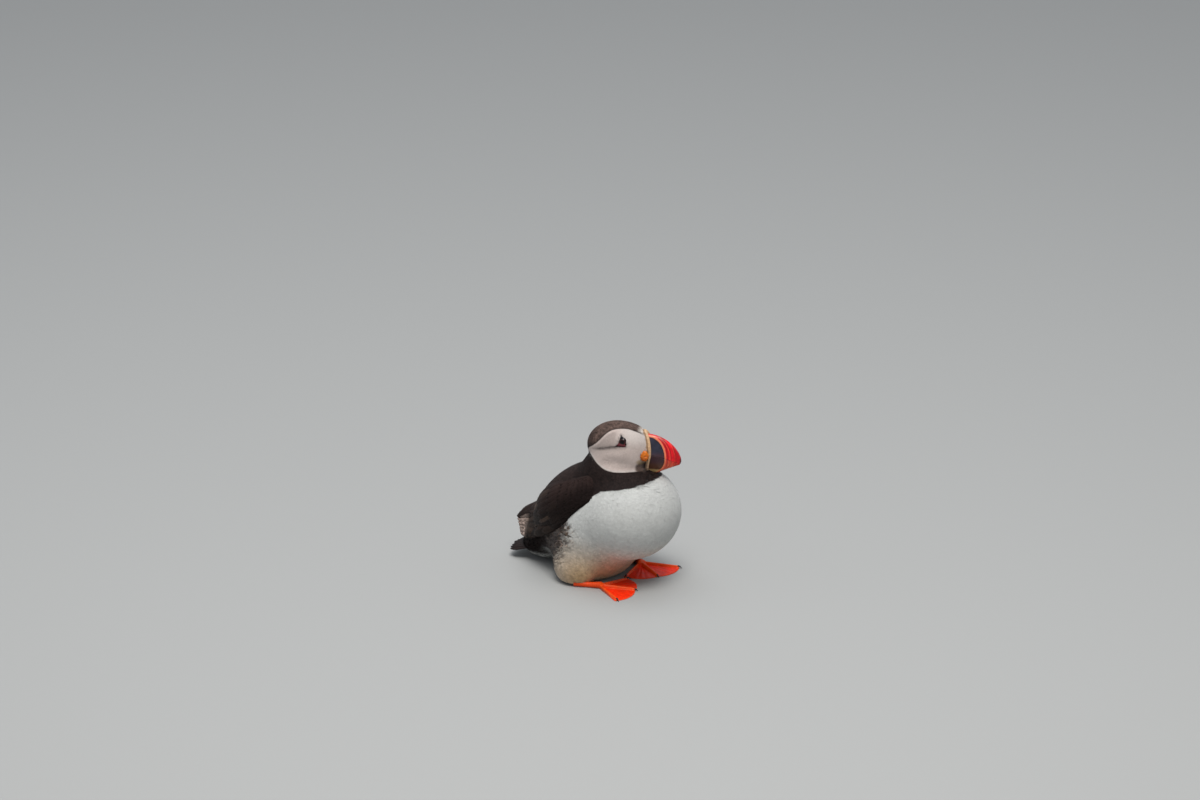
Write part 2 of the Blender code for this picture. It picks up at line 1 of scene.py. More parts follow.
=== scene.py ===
"""The finish of a life-size Atlantic puffin at rest: skin, plumage, bill, eyes, webbed feet, plain studio.

Lengths inside the script are millimetres in the bird's own frame: +X towards the breast, +Y to its left,
+Z up, with the ground at zero. sculpt() turns them into metres of the frame in which the solid parts stand.
"""

import itertools
import math

import bpy
import numpy as np
from bpy.props import FloatProperty, FloatVectorProperty, IntProperty, PointerProperty
from mathutils import Matrix, Vector


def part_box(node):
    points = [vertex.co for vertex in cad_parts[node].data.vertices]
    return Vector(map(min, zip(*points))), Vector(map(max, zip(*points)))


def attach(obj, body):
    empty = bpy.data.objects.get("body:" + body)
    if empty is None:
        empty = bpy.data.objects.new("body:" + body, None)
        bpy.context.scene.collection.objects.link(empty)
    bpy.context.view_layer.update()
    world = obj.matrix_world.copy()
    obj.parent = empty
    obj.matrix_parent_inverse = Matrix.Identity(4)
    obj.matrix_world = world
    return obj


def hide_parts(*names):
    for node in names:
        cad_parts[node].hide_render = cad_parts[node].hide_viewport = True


bl_info = {
    "name": "Atlantic puffin finish",
    "version": (1, 0, 0),
    "blender": (4, 5, 0),
    "location": "3D View > Sidebar > Puffin",
    "description": "Dresses the solid parts of a resting puffin in skin, feathers, horn and webbed skin",
    "category": "Object",
}

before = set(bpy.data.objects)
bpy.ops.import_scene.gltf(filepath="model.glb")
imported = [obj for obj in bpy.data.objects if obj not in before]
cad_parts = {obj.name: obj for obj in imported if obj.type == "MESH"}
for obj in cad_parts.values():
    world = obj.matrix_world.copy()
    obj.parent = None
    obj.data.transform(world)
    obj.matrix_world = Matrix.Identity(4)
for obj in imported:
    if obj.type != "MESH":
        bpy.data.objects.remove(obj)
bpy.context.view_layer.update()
MM = 0.001
SIDES = ((1, "left"), (-1, "right"))

# --- the body's forms, as the solid parts have them -----------------------------------------------
BODY_FORMS = (
    ((-16, 0, 52), (64, 46, 42), 40),  # trunk: centre, half-sizes, degrees that the front is raised
    ((14, 0, 66), (43, 46, 42), 35),  # breast
    ((-44, 0, 65), (50, 38, 30), 42),  # mantle
    ((-74, 0, 27), (30, 25, 18), 22),  # rump
    ((-82, 0, 13), (23, 17, 10), 0),  # under the tail
    ((-22, 0, 32), (33, 46, 46), -20),  # belly
    ((-25, 34.5, 14), (19, 14.5, 18), 0),  # left thigh
    ((-25, -34.5, 14), (19, 14.5, 18), 0),  # right thigh
    ((-7, 0, 97), (30, 30, 29), 0),  # neck
)
HEAD_PLACE = (-1.0, 1.5, 123.0)
HEAD_TURN = 24.0
HEAD_TILT = -5.0
HEAD_FORMS = (
    ((-1, 0, 3), (29, 20, 22.2)),  # skull
    ((11, 0, 5.2), (15, 12.5, 15.5)),  # brow
    ((9, 0, -3), (17.5, 14.5, 20)),  # face
    ((-1, 8, -7.5), (22, 13, 14)),  # left cheek
    ((-1, -8, -7.5), (22, 13, 14)),  # right cheek
)
BODY_BLEND, HEAD_BLEND, NECK_BLEND = 9.0, 5.0, 4.0
BELLY_LEVEL, BELLY_SOFTNESS = 0.0, 5.0
CORE_LOW, CORE_HIGH = (-16.0, 0.0, 46.0), (-3.0, 2.0, 122.0)  # ends of the line that rays start from
RAY_REACH = 150.0
SKIN_GRID, ROOT_GRID = (224, (52, 66, 64)), (180, (40, 52, 52))  # columns, then rows below, along and above

# --- bill, eye and gape, in the head's frame ------------------------------------------------------
CULMEN_CENTRE, CULMEN_RADII, CULMEN_START = (26.0, -10.5), (29.8, 26.2), 96.0
GAPE_START, BILL_TIP = (25.6, -1.5), (55.5, -9.2)
CHIN, CHIN_LENGTH = (28.0, -19.6), 6.0
BILL_HALF_WIDTH, CULMEN_HALF_WIDTH = 7.0, 2.4
PLATE_CENTRE = (26.5, -5.5)  # middle, x and z, of the arcs that the bill's plates and grooves follow
PLATE_RADIUS, PLATE_HIGH, PLATE_LOW = 15.2, 18.5, 14.2
GROOVE_RADII = (20.4, 24.8)  # of the grooves' arcs, at the gape
RIDGE_LINE = (  # z, x
    (-20.5, 25.6), (-16.5, 26.4), (-8, 27.4), (3, 27.7), (10, 26.3), (15, 24.2), (20.5, 20.6),
)
RIDGE_HALF_DEPTH, RIDGE_WIDTH = 19.6, 4.4
RIDGE_ROWS, RIDGE_COLUMNS = 22, 160
EYE_PLACE, EYE_RADIUS = (5.1, 13.6, 10.8), 5.0
EYE_SET = (0.8, -0.2, -0.3)  # how far the eyeball stands from the solid eye
EYE_RING_RADIUS, EYE_RING_COUNT, EYE_RING_TUBE = 2.7, 72, 14
EYE_PLATES = {  # middle, half-sizes, lean in degrees, angle of the point, and how sharp its corners are
    "upper": ((5.3, 15.8, 12.9), (2.3, 0.9, 2.9), -35, math.pi / 2, 0.24),
    "lower": ((4.6, 17.4, 7.9), (4.7, 1.1, 1.75), -4, math.pi + 0.35, 0.13),
}
ROSETTE_PLACE, ROSETTE_SIZE = (24.4, 10.4, -2.4), (4.3, 2.5, 4.9)
EYE_TRIANGLE = (
    (4.5, 16.2), (6.1, 13.9), (9.6, 9.0), (9.2, 6.6), (4.6, 6.1), (0.2, 6.3), (2.5, 9.4), (3.7, 13.2),
)
CREASE = ((0.6, 6.1), (-6.3, 4.6), (-13.7, 2.7), (-20.4, 1.2), (-25, 0.4))
CREASE_AHEAD = ((9.0, 6.2), (20.0, 5.0))  # where the crease's level runs on in front of the eye

# --- wings, tail and feet, in the bird's frame ----------------------------------------------------
WING_LOWER = ((9, 33, 92), (-14, 41, 77), (-38, 43, 54), (-66, 35, 37), (-91, 19, 25), (-108, 8, 21))
WING_UPPER = ((0, 26, 104), (-20, 26, 99), (-46, 23, 84), (-74, 17, 66), (-97, 9, 49), (-115, 5, 36))
WING_RISE = 3.4
WING_ROWS = (  # start and reach along the wing, count, half width, place in the stack, lean downwards
    (0.60, 0.42, 6, 4.6, 0.00, 0.02), (0.54, 0.42, 7, 4.6, 0.12, 0.02), (0.48, 0.40, 7, 4.8, 0.24, 0.03),
    (0.42, 0.36, 8, 4.8, 0.36, 0.04), (0.37, 0.30, 9, 4.4, 0.46, 0.05), (0.32, 0.24, 10, 4.0, 0.55, 0.05),
    (0.275, 0.18, 12, 3.4, 0.62, 0.05), (0.235, 0.14, 13, 3.0, 0.68, 0.05), (0.20, 0.12, 14, 2.7, 0.74, 0.05),
    (0.165, 0.11, 15, 2.5, 0.79, 0.05), (0.13, 0.10, 16, 2.4, 0.84, 0.05), (0.095, 0.09, 16, 2.3, 0.88, 0.05),
    (0.06, 0.085, 17, 2.2, 0.92, 0.05), (0.025, 0.08, 17, 2.2, 0.96, 0.05),
    (-0.01, 0.075, 17, 2.1, 1.0, 0.05),
)
TAIL_ROOT, TAIL_TIP = (-76.0, 0.0, 19.0), (-117.0, 0.0, 8.5)
TAIL_HALF_ANGLE, TAIL_ARCH = 17.0, 3.0
TAIL_UPPER, TAIL_UNDER = 12, 8  # feathers in the fan, and in the layer beneath it
TOE_JOINTS = {"left": (-4.0, 35.0), "right": (1.0, -33.0)}
TOE_IN = 25.0
SHANK, SHANK_RADII = 22.0, (3.3, 3.0, 2.6, 2.5, 2.7, 3.0)
SHANK_ROWS, SHANK_COLUMNS = 90, 36
# each toe's name, angle to the inner side, length and half width
TOES = (("inner", 50, 33.5, 1.5), ("middle", 0, 33.5, 1.9), ("outer", -49, 36.0, 1.7))
WEB_THICKNESS, KNUCKLE_RADIUS = 0.9, 3.4
CLAW_LENGTH, CLAW_RADIUS = 5.6, 1.15

# --- markings -------------------------------------------------------------------------------------
CHEEK_OUTLINE = (
    (-27.5, -1), (-26, 1.2), (-22, 4.4), (-18, 7.6), (-15, 10.8), (-12.2, 13.9), (-9, 16.9), (-5.7, 19),
    (-2.4, 20.2), (2, 21.1), (7.6, 21.1), (12.2, 20.2), (18.9, 17.6), (23.7, 14.3), (28, 8), (29.5, -4),
    (28.5, -14), (26, -16.6), (21.3, -16.3), (16.3, -15.9), (5.7, -16), (0.1, -15.8), (-4.6, -15.1),
    (-9, -13.9), (-13.8, -11.5), (-18.2, -8.6), (-23.2, -5.1), (-27.4, -2.8),
)  # x and z in the head's frame
FLANK_EDGE = (
    (0, -58), (12, -48), (28.7, -35), (42.4, -26), (52.7, -22.5), (63.6, -26), (73.5, -18), (83.8, -7),
    (92.9, 4),
)  # z, x
COLLAR_LOW, COLLAR_DIP, NECK_AXIS = 93.0, 8.6, -7.0
# linear colours of small places: face, bill, ridge, eye and rosette
GAPE_TINGE = (0.30, 0.20, 0.07)
# DARK_RED is painted shade beside the bill's grooves and in front of its base plate, and the colour of the
# dark lines on the lower half
DARK_RED, TIP_DARK, LOWER_CREAM = (0.20, 0.004, 0.006), (0.02, 0.004, 0.005), (0.60, 0.39, 0.17)
BASE_PURPLE, BASE_BROWN = (0.055, 0.018, 0.022), (0.085, 0.035, 0.018)
RIDGE_SHADE, PUPIL = (0.45, 0.3, 0.22), (0.004, 0.003, 0.003)
FOLD_ORANGE, UNDER_ORANGE = (0.62, 0.13, 0.008), (0.5, 0.09, 0.01)

# --- coat -----------------------------------------------------------------------------------------
STATIONS = (0.0, 0.3, 0.62, 0.86)  # rows of a small feather, as shares of its length
FINGERS = 7  # barbs at its tip
PATCH = 0.003  # width of one feather's patch on the OFBake map
MOST_TRIANGLES = 190000  # in one piece of the coat
REGIONS = ("face", "crown", "neck", "breast", "belly", "flank_left", "flank_right", "back", "rump")
VANE_ROWS, VANE_COLUMNS = 9, 5  # points along and across a long feather

# --- stage ----------------------------------------------------------------------------------------
AIM_ASIDE, AIM_ABOVE = -1 / 60, 0.1475  # from the bird's origin to the camera's aim, in widths of the view
FLOOR_REACH, SENSOR_WIDTH = 14.0, 36.0
SKY_COLOUR, SKY_POWER = (0.86, 0.92, 1.0, 1), 0.4
LIGHT_AIM = (0, 0, 0.08)
LIGHTS = (  # name, place, size, power, colour
    ("key", (0.75, -0.75, 2.4), 1.1, 54.0, (1.0, 0.985, 0.96)),
    ("sky", (-0.4, 0.3, 2.5), 2.2, 30.0, (0.95, 0.97, 1.0)),
    ("fill", (-1.9, -1.6, 0.9), 1.6, 3.0, (0.95, 0.97, 1.0)),
)


def srgb(red, green, blue):
    """Linear colour of three values from 0 to 255."""
    share = np.array([red, green, blue]) / 255
    return tuple(np.where(share < 0.04045, share / 12.92, ((share + 0.055) / 1.055) ** 2.4))


def smooth(low, high, value):
    """0 below low, 1 above high, and a smooth S between them."""
    share = np.clip((value - low) / (high - low), 0, 1)
    return share * share * (3 - 2 * share)


def mix(a, b, share):
    """Colours or lengths a and b, mixed by share."""
    a, b = np.asarray(a, float), np.asarray(b, float)
    share = np.asarray(share, float)
    spread = max(a.ndim, b.ndim) > share.ndim or a.shape == (3,)
    return a + (b - a) * (share[..., None] if spread else share)


# --- settings -------------------------------------------------------------------------------------
def tint(name, description, default):
    """A colour setting."""
    return FloatVectorProperty(
        name=name, description=description, default=default, subtype="COLOR", size=3, min=0, max=1)


class PlumageSettings(bpy.types.PropertyGroup):
    """Lengths, spacing and colours of the coat."""

    face_spacing: FloatProperty(
        name="Face spacing", description="Distance between face plumes, mm", default=0.78, min=0.5)
    head_spacing: FloatProperty(
        name="Head spacing", description="Distance between crown plumes, mm", default=0.92, min=0.5)
    body_spacing: FloatProperty(
        name="Body spacing", description="Distance between body feathers, mm", default=1.25, min=0.8)
    seed: IntProperty(name="Seed", description="Start of the random scatter", default=7)
    white: tint("White", "Breast and belly", srgb(197, 197, 193))
    # Warmer and darker low on the belly: a stain, with painted shade towards the ground
    stain_and_shade: tint("Stain", "Low on the belly", srgb(190, 156, 114))
    cheek: tint("Cheek", "Cheeks and throat sides", srgb(192, 176, 168))
    smudge: tint("Smudge", "Shadow of grey behind the gape", srgb(74, 54, 44))
    crown: tint("Crown", "Top of the head", srgb(94, 76, 69))
    forehead: tint("Forehead", "Pale front of the crown", srgb(206, 196, 186))
    black: tint("Black", "Collar, back and wings", srgb(36, 26, 24))
    worn: tint("Worn", "Bleached brown of worn feathers", srgb(84, 68, 58))
    bleached: tint("Bleached", "Palest worn wing tips", srgb(212, 186, 172))


class HornSettings(bpy.types.PropertyGroup):
    """Colours of bill, eye and claws."""

    red: tint("Red", "Outer part of the bill", srgb(226, 14, 28))
    orange: tint("Orange", "Grooves and lower edge of the bill", srgb(228, 96, 56))
    slate: tint("Slate", "Blue-grey base of the bill", srgb(40, 40, 54))
    cream: tint("Cream", "Ridge at the bill's root and the line round the base", srgb(199, 161, 122))
    iris: tint("Iris", "Dark brown of the eye", srgb(44, 24, 20))
    ring: tint("Eye ring", "Bare ring round the eye", srgb(104, 30, 32))
    claw: tint("Claw", "Black horn", srgb(30, 27, 26))


class SkinSettings(bpy.types.PropertyGroup):
    """Colours of bare skin."""

    web: tint("Web", "Webs between the toes", srgb(252, 46, 2))
    toe: tint("Toe", "Ridges of the toes and shanks", srgb(242, 88, 18))
    gape: tint("Gape", "Fleshy rosette at the corner of the gape", srgb(200, 104, 4))


class StageSettings(bpy.types.PropertyGroup):
    """Camera and floor."""

    azimuth: FloatProperty(
        name="Azimuth", description="Turn of the camera from the bird's right side", default=math.radians(38),
        subtype="ANGLE")
    elevation: FloatProperty(
        name="Elevation", description="Height of the camera", default=math.radians(20), subtype="ANGLE")
    distance: FloatProperty(
        name="Distance", description="From the aim to the camera", default=6.0, subtype="DISTANCE")
    width: FloatProperty(
        name="Width", description="Width of the view at the bird", default=1.08, subtype="DISTANCE")
    floor: tint("Floor", "Plain pale floor", srgb(160, 160, 158))


# --- forms ----------------------------------------------------------------------------------------
def turn(yaw=0.0, pitch=0.0, tilt=0.0):
    """Rotation matrix, in degrees: tilted left side up, then pitched nose up, then yawed to the left."""
    matrix = Matrix.Rotation(math.radians(-pitch), 3, "Y") @ Matrix.Rotation(math.radians(tilt), 3, "X")
    return np.array(Matrix.Rotation(math.radians(yaw), 3, "Z") @ matrix)


HEAD_MATRIX = turn(yaw=HEAD_TURN, tilt=HEAD_TILT)


def from_head(points):
    """Points of the head's frame in the bird's frame."""
    return np.asarray(points, float) @ HEAD_MATRIX.T + np.array(HEAD_PLACE)


def to_head(points):
    """Points of the bird's frame in the head's frame."""
    return (points - np.array(HEAD_PLACE)) @ HEAD_MATRIX


def mirror(side):
    """Factors that carry points of the left side over to the given one."""
    return np.array([1.0, side, 1.0])


def frame_shift():
    """Where the bird's origin stands in the frame: the middle of its eyes, less their place in the bird."""
    found = np.mean([np.array(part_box("eye_" + word)) / MM for _, word in SIDES], axis=(0, 1))
    return found - from_head((EYE_PLACE[0], 0.0, EYE_PLACE[2]))


SHIFT = frame_shift()


def form_distance(points, centre, radii, matrix):
    """Approximate distance outside a turned ellipsoid: k(k - 1) / s, k the scaled radius and s its slope."""
    local = (points - np.array(centre, float)) @ matrix
    radii = np.array(radii, float)
    scaled = np.linalg.norm(local / radii, axis=-1)
    slope = np.linalg.norm(local / radii**2, axis=-1) + 1e-9
    return scaled * (scaled - 1) / slope


def flow(a, b, width):
    """Smooth minimum: the union of two forms with a soft seam of this width."""
    share = np.clip(0.5 + 0.5 * (b - a) / width, 0, 1)
    return b * (1 - share) + a * share - width * share * (1 - share)


def ridge_line(z):
    """Place ahead, in the head's frame, of the middle of the ridge round the bill's root, at a height."""
    return np.polyval(np.polyfit(*np.transpose(RIDGE_LINE), 4), np.clip(z, -21, 21))


def body_distance(points):
    """Approximate distance outside the body: ellipsoids that flow together, flattened on the ground."""
    body = None
    for centre, radii, pitch in BODY_FORMS:
        form = form_distance(points, centre, radii, turn(pitch=pitch))
        body = form if body is None else flow(body, form, BODY_BLEND)
    head = None
    for centre, radii in HEAD_FORMS:
        form = form_distance(points, from_head(centre), radii, HEAD_MATRIX)
        head = form if head is None else flow(head, form, HEAD_BLEND)
    whole = flow(body, head, NECK_BLEND)
    return -flow(-whole, points[..., 2] - BELLY_LEVEL, BELLY_SOFTNESS)


def axes(points):
    """The x, y and z of points, as three arrays."""
    return np.moveaxis(points, -1, 0)


def unit(vectors):
    """Vectors scaled to length one."""
    return vectors / (np.linalg.norm(vectors, axis=-1, keepdims=True) + 1e-12)


def catmull_rom(a, b, c, d, t):
    """Cubic from b to c as t goes from 0 to 1, with the slopes that their neighbours a and d give."""
    return 0.5 * (2 * b + (c - a) * t + (2 * a - 5 * b + 4 * c - d) * t**2 + (3 * b - 3 * c + d - a) * t**3)


def curve_at(stations, place):
    """Points of the Catmull-Rom curve through stations, at places from 0 to 1."""
    stations = np.array(stations, float)
    padded = np.concatenate([2 * stations[:1] - stations[1:2], stations, 2 * stations[-1:] - stations[-2:-1]])
    place = np.clip(np.asarray(place, float), 0, 1) * (len(stations) - 1)
    span = np.minimum(place.astype(int), len(stations) - 2)
    return catmull_rom(*(padded[span + k] for k in range(4)), (place - span)[..., None])


def smooth_loop(corners, steps):
    """A closed Catmull-Rom loop through corners, as an array of points."""
    loop = np.array(corners, float)
    a, b, c, d = (np.roll(loop, shift, axis=0)[:, None] for shift in (1, 0, -1, -2))
    t = np.linspace(0, 1, steps, endpoint=False)[None, :, None]
    return catmull_rom(a, b, c, d, t).reshape(-1, loop.shape[1])


def line_distance(points, corners, closed=False):
    """Distance from 2-D points to a line through corners; inside a closed one it is negative."""
    corners = np.array(corners, float)
    ends = np.roll(corners, -1, axis=0) if closed else corners[1:]
    starts = corners if closed else corners[:-1]
    nearest = np.full(points.shape[:-1], 1e9)
    crossings = np.zeros(points.shape[:-1], bool)
    for start, end in zip(starts, ends):
        way, offset = end - start, points - start
        share = np.clip(offset @ way / (way @ way), 0, 1)
        nearest = np.minimum(nearest, np.linalg.norm(offset - share[..., None] * way, axis=-1))
        spans = (points[..., 1] < start[1]) != (points[..., 1] < end[1])
        rise = way[1] if abs(way[1]) > 1e-9 else 1e-9
        crossings ^= spans & (points[..., 0] < start[0] + offset[..., 1] / rise * way[0])
    return np.where(crossings, -nearest, nearest) if closed else nearest


def head_share(points):
    """1 on the head, 0 on the body, mixed across the jaw."""
    x, _, z = axes(to_head(points))
    return smooth(-24.0, -15.0, z + 0.2 * x) * smooth(31.0, 27.0, x)


def face_relief(points):
    """How far the face swells or sinks, mm: a fold behind the eye, a hollow round it, full cheeks below."""
    local = to_head(points)
    x, y, z = axes(local)
    flat = local[..., [0, 2]]
    here = head_share(points) * smooth(4, 9, np.abs(y))
    fold = line_distance(flat, CREASE)
    along = smooth(-25, -11, x)
    below = np.interp(x, *np.transpose(CREASE[::-1] + CREASE_AHEAD)) - z
    bulge = smooth(0, 3.2, below) * smooth(15, 5, below) * smooth(-24, -8, x) * smooth(18, 6, x)
    sunk = smooth(0.5, -1.5, below) * smooth(-22, -12, x) * smooth(2, -4, x)
    hollow = smooth(1.6, -1.6, line_distance(flat, EYE_TRIANGLE, closed=True))
    margin = line_distance(flat, CHEEK_LOOP, closed=True)
    edge = np.exp(-((margin - 0.7) / 0.7) ** 2)
    relief = -1.5 * np.exp(-(fold**2)) * along + 1.7 * bulge - 0.8 * sunk
    brow = smooth(3.2, 0.6, margin) * smooth(-0.4, 0.4, margin) * smooth(0, 4, z) * smooth(22, 16, x)
    return here * (relief - 1.2 * hollow - 0.5 * edge + 0.5 * brow)


CHEEK_LOOP = smooth_loop(CHEEK_OUTLINE, 6)


def coat_depth(points):
    """Depth of the coat over the skin, mm: thin on the face, deeper on the body, deepest at the rear."""
    loose = smooth(-5, -40, points[..., 0]) * smooth(62, 45, points[..., 2])
    return mix(1.5 + 1.2 * loose, 0.65, head_share(points))


def surface(points):
    """Distance outside the coat's own surface: the body's form with the folds of the face."""
    return body_distance(points) - face_relief(points)


def outward(points, step=0.25):
    """Unit slope of body_distance, from four samples at the corners of a tetrahedron."""
    corners = np.array([(1, 1, 1), (1, -1, -1), (-1, 1, -1), (-1, -1, 1)], float)
    slope = sum(body_distance(points + corner * step)[..., None] * corner for corner in corners)
    return unit(slope)


def ray_rings(columns, low_rows, side_rows, high_rows):
    """Rings where rays from a line inside the bird leave its form.

    Rays fan down under the line's lower end, stand level along it and fan up over its upper end. Each is
    followed outwards in even steps to the last that is inside, and the crossing after it is halved down."""
    low, high = np.array(CORE_LOW), np.array(CORE_HIGH)
    down = np.linspace(-90, 0, low_rows, endpoint=False)[1:]
    rise = np.concatenate([down, np.zeros(side_rows), np.linspace(0, 90, high_rows + 1)[:-1]])
    level = np.linspace(0, 1, side_rows, endpoint=False)
    share = np.concatenate([np.zeros(low_rows - 1), level, np.ones(high_rows)])
    starts = low + (high - low) * share[:, None, None] + np.zeros((1, columns, 1))
    turns = np.linspace(0, 2 * math.pi, columns, endpoint=False)
    turns = turns - 0.28 * np.sin(2 * turns)
    rise = np.radians(rise)[:, None]
    out = np.cos(rise)
    rays = np.stack([out * np.cos(turns), out * np.sin(turns), np.sin(rise) + 0 * turns], -1)
    steps = np.linspace(0, RAY_REACH, 31)
    last = np.zeros(rays.shape[:2])
    for step in steps:
        last = np.where(body_distance(starts + rays * step) < 0, step, last)
    near, far = last, last + steps[1]
    for _ in range(11):
        middle = (near + far) / 2
        held = body_distance(starts + rays * middle[..., None]) < 0
        near, far = np.where(held, middle, near), np.where(held, far, middle)
    return starts + rays * ((near + far) / 2)[..., None]


def wing_sheet(side, along, across, lift=0.0):
    """Points of a folded wing's outer sheet, lift mm above it.

    Straight lines across from the lower edge to the upper one, pushed out along the body's slope until they
    clear it by the wing's own fullness. Returns them with the unit directions that lift goes in."""
    along, across = np.broadcast_arrays(np.asarray(along, float), np.asarray(across, float))
    lower, upper = curve_at(WING_LOWER, along) * mirror(side), curve_at(WING_UPPER, along) * mirror(side)
    sheet = lower + (upper - lower) * across[..., None]
    rise = WING_RISE * (0.22 + 0.78 * np.sin(math.pi * np.clip(across, 0, 1)) ** 0.6) * (1 - 0.35 * along)
    rise = rise * smooth(0.02, 0.28, along) - 1.6 * smooth(0.17, 0.03, along)
    for _ in range(3):
        lack = np.maximum(0, rise - body_distance(sheet))
        sheet = sheet + outward(sheet) * lack[..., None]
    flare = np.array([-0.1, side * 0.85, 0.5])
    way = unit(mix(outward(sheet), unit(flare), smooth(0.62, 0.85, along)))
    return sheet + way * np.asarray(lift)[..., None], way


# --- meshes ---------------------------------------------------------------------------------------
def grid_faces(rows, columns, closed=False, start=0):
    """Quads that join neighbours on a grid of points; closed joins the last column to the first."""
    spot = start + np.arange(rows * columns).reshape(rows, columns)
    after = np.roll(spot, -1, axis=1) if closed else spot[:, 1:]
    here = spot if closed else spot[:, :-1]
    return np.stack([here[:-1], after[:-1], after[1:], here[1:]], axis=-1).reshape(-1, 4)


def closed_rings(points):
    """Rings of points with a middle point added to the first and the last, and the faces that close them."""
    rows, columns = points.shape[:2]
    flat = np.concatenate([points.reshape(-1, 3), points[0].mean(0)[None], points[-1].mean(0)[None]])
    first, last = np.arange(columns), (rows - 1) * columns + np.arange(columns)
    caps = np.concatenate([
        np.stack([np.roll(first, -1), first, np.full(columns, rows * columns)], -1),
        np.stack([last, np.roll(last, -1), np.full(columns, rows * columns + 1)], -1),
    ])
    return flat, [grid_faces(rows, columns, closed=True), caps]


def repeat_faces(faces, count, each):
    """The same faces for a count of shapes that have each so many points."""
    return (faces[None] + (np.arange(count) * each)[:, None, None]).reshape(-1, 3)


def add_object(name, data):
    """A new object in the scene."""
    made = bpy.data.objects.new(name, data)
    bpy.context.scene.collection.objects.link(made)
    return made


def sculpt(name, points, faces, material, replaces=()):
    """A mesh object from bird-frame points in mm and a list of face arrays, riding with the one body."""
    mesh = bpy.data.meshes.new(name)
    points = (np.asarray(points, float).reshape(-1, 3) + SHIFT) * MM
    faces = [np.asarray(group, np.int32) for group in faces if len(group)]
    sizes = np.concatenate([np.full(len(group), group.shape[1], np.int32) for group in faces])
    corners = np.concatenate([group.ravel() for group in faces])
    mesh.vertices.add(len(points))
    mesh.vertices.foreach_set("co", points.astype(np.float32).ravel())
    mesh.loops.add(len(corners))
    mesh.loops.foreach_set("vertex_index", corners)
    mesh.polygons.add(len(sizes))
    mesh.polygons.foreach_set("loop_start", np.concatenate([[0], np.cumsum(sizes)[:-1]]).astype(np.int32))
    mesh.polygons.foreach_set("use_smooth", np.ones(len(sizes), bool))
    mesh.update(calc_edges=True)
    mesh.validate()
    made = add_object(name, mesh)
    mesh.materials.append(material)
    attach(made, "root")
    if replaces:
        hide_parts(*replaces)
    return made


def point_colour(made, name, colours):
    """Stores one linear colour for each point of a mesh."""
    layer = made.data.color_attributes.new(name, "FLOAT_COLOR", "POINT")
    colours = np.asarray(colours, float).reshape(-1, 3)
    rgba = np.concatenate([colours, np.ones((len(colours), 1))], axis=1)
    layer.data.foreach_set("color", rgba.astype(np.float32).ravel())


def closed_piece(name, rings, colours, layer, material, node, place=None):
    """A closed piece in place of one solid, from rings of points and a colour for each; place turns them."""
    points, faces = closed_rings(rings)
    made = sculpt(name, place(points) if place else points, faces, material, (node,))
    flat = np.broadcast_to(colours, rings.shape).reshape(-1, 3)
    point_colour(made, layer, np.concatenate([flat, flat[:1], flat[-1:]]))
    faces_out(made)


def faces_out(made):
    """Turns a closed mesh's faces outwards if its volume says they point in."""
    mesh = made.data
    points = np.empty(len(mesh.vertices) * 3)
    mesh.vertices.foreach_get("co", points)
    points = points.reshape(-1, 3)
    mesh.calc_loop_triangles()
    corner = np.empty(len(mesh.loop_triangles) * 3, np.int32)
    mesh.loop_triangles.foreach_get("vertices", corner)
    a, b, c = points[corner].reshape(-1, 3, 3).transpose(1, 0, 2) - points.mean(0)
    if (a * np.cross(b, c)).sum() < 0:
        mesh.flip_normals()


def point_map(made, name, places):
    """Stores a UV map from one place for each point of a mesh."""
    layer = made.data.uv_layers.new(name=name)
    corner = np.empty(len(made.data.loops), np.int32)
    made.data.loops.foreach_get("vertex_index", corner)
    layer.data.foreach_set("uv", np.asarray(places, np.float32).reshape(-1, 2)[corner].ravel())


def point_normals(made, normals):
    """Sets how each point is shaded."""
    directions = unit(np.asarray(normals, float).reshape(-1, 3))
    made.data.normals_split_custom_set_from_vertices(directions.tolist())


# --- materials ------------------------------------------------------------------------------------
class Finish:
    """A material under construction: a Principled shader and the nodes that feed it."""

    def __init__(self, name, **constants):
        self.material = bpy.data.materials.new(name)
        self.material.use_nodes = True
        self.tree = self.material.node_tree
        self.shader = self.tree.nodes["Principled BSDF"]
        for socket, value in constants.items():
            self.shader.inputs[socket.replace("_", " ")].default_value = value

    def node(self, kind, **values):
        made = self.tree.nodes.new(kind)
        for key, value in values.items():
            if key in made.inputs:
                made.inputs[key].default_value = value
            else:
                setattr(made, key, value)
        return made

    def link(self, source, target):
        self.tree.links.new(source, target)

    def attribute(self, name):
        return self.node("ShaderNodeAttribute", attribute_name=name)

    def spot(self):
        return self.node("ShaderNodeTexCoord").outputs["Object"]

    def noise(self, scale, detail, roughness):
        made = self.node("ShaderNodeTexNoise", Scale=scale, Detail=detail, Roughness=roughness)
        self.link(self.spot(), made.inputs["Vector"])
        return made.outputs["Fac"]

    def cells(self, scale):
        made = self.node("ShaderNodeTexVoronoi", Scale=scale)
        self.link(self.spot(), made.inputs["Vector"])
        return made.outputs["Distance"]

    def span(self, value, low, high, to_low, to_high):
        made = self.node("ShaderNodeMapRange")
        for index, number in enumerate((low, high, to_low, to_high), start=1):
            made.inputs[index].default_value = number
        self.link(value, made.inputs[0])
        return made.outputs[0]

    def math(self, operation, a, b):
        made = self.node("ShaderNodeMath", operation=operation)
        for index, value in enumerate((a, b)):
            if isinstance(value, (int, float)):
                made.inputs[index].default_value = value
            else:
                self.link(value, made.inputs[index])
        return made.outputs[0]

    def shade(self, colour, factor):
        """A colour multiplied by a value."""
        made = self.node("ShaderNodeVectorMath", operation="SCALE")
        self.link(colour, made.inputs[0])
        self.link(factor, made.inputs["Scale"])
        return made.outputs[0]

    def bump(self, height, distance, strength):
        made = self.node("ShaderNodeBump", Strength=strength, Distance=distance)
        self.link(height, made.inputs["Height"])
        self.link(made.outputs[0], self.shader.inputs["Normal"])

    def feed(self, socket, value):
        self.link(value, self.shader.inputs[socket])


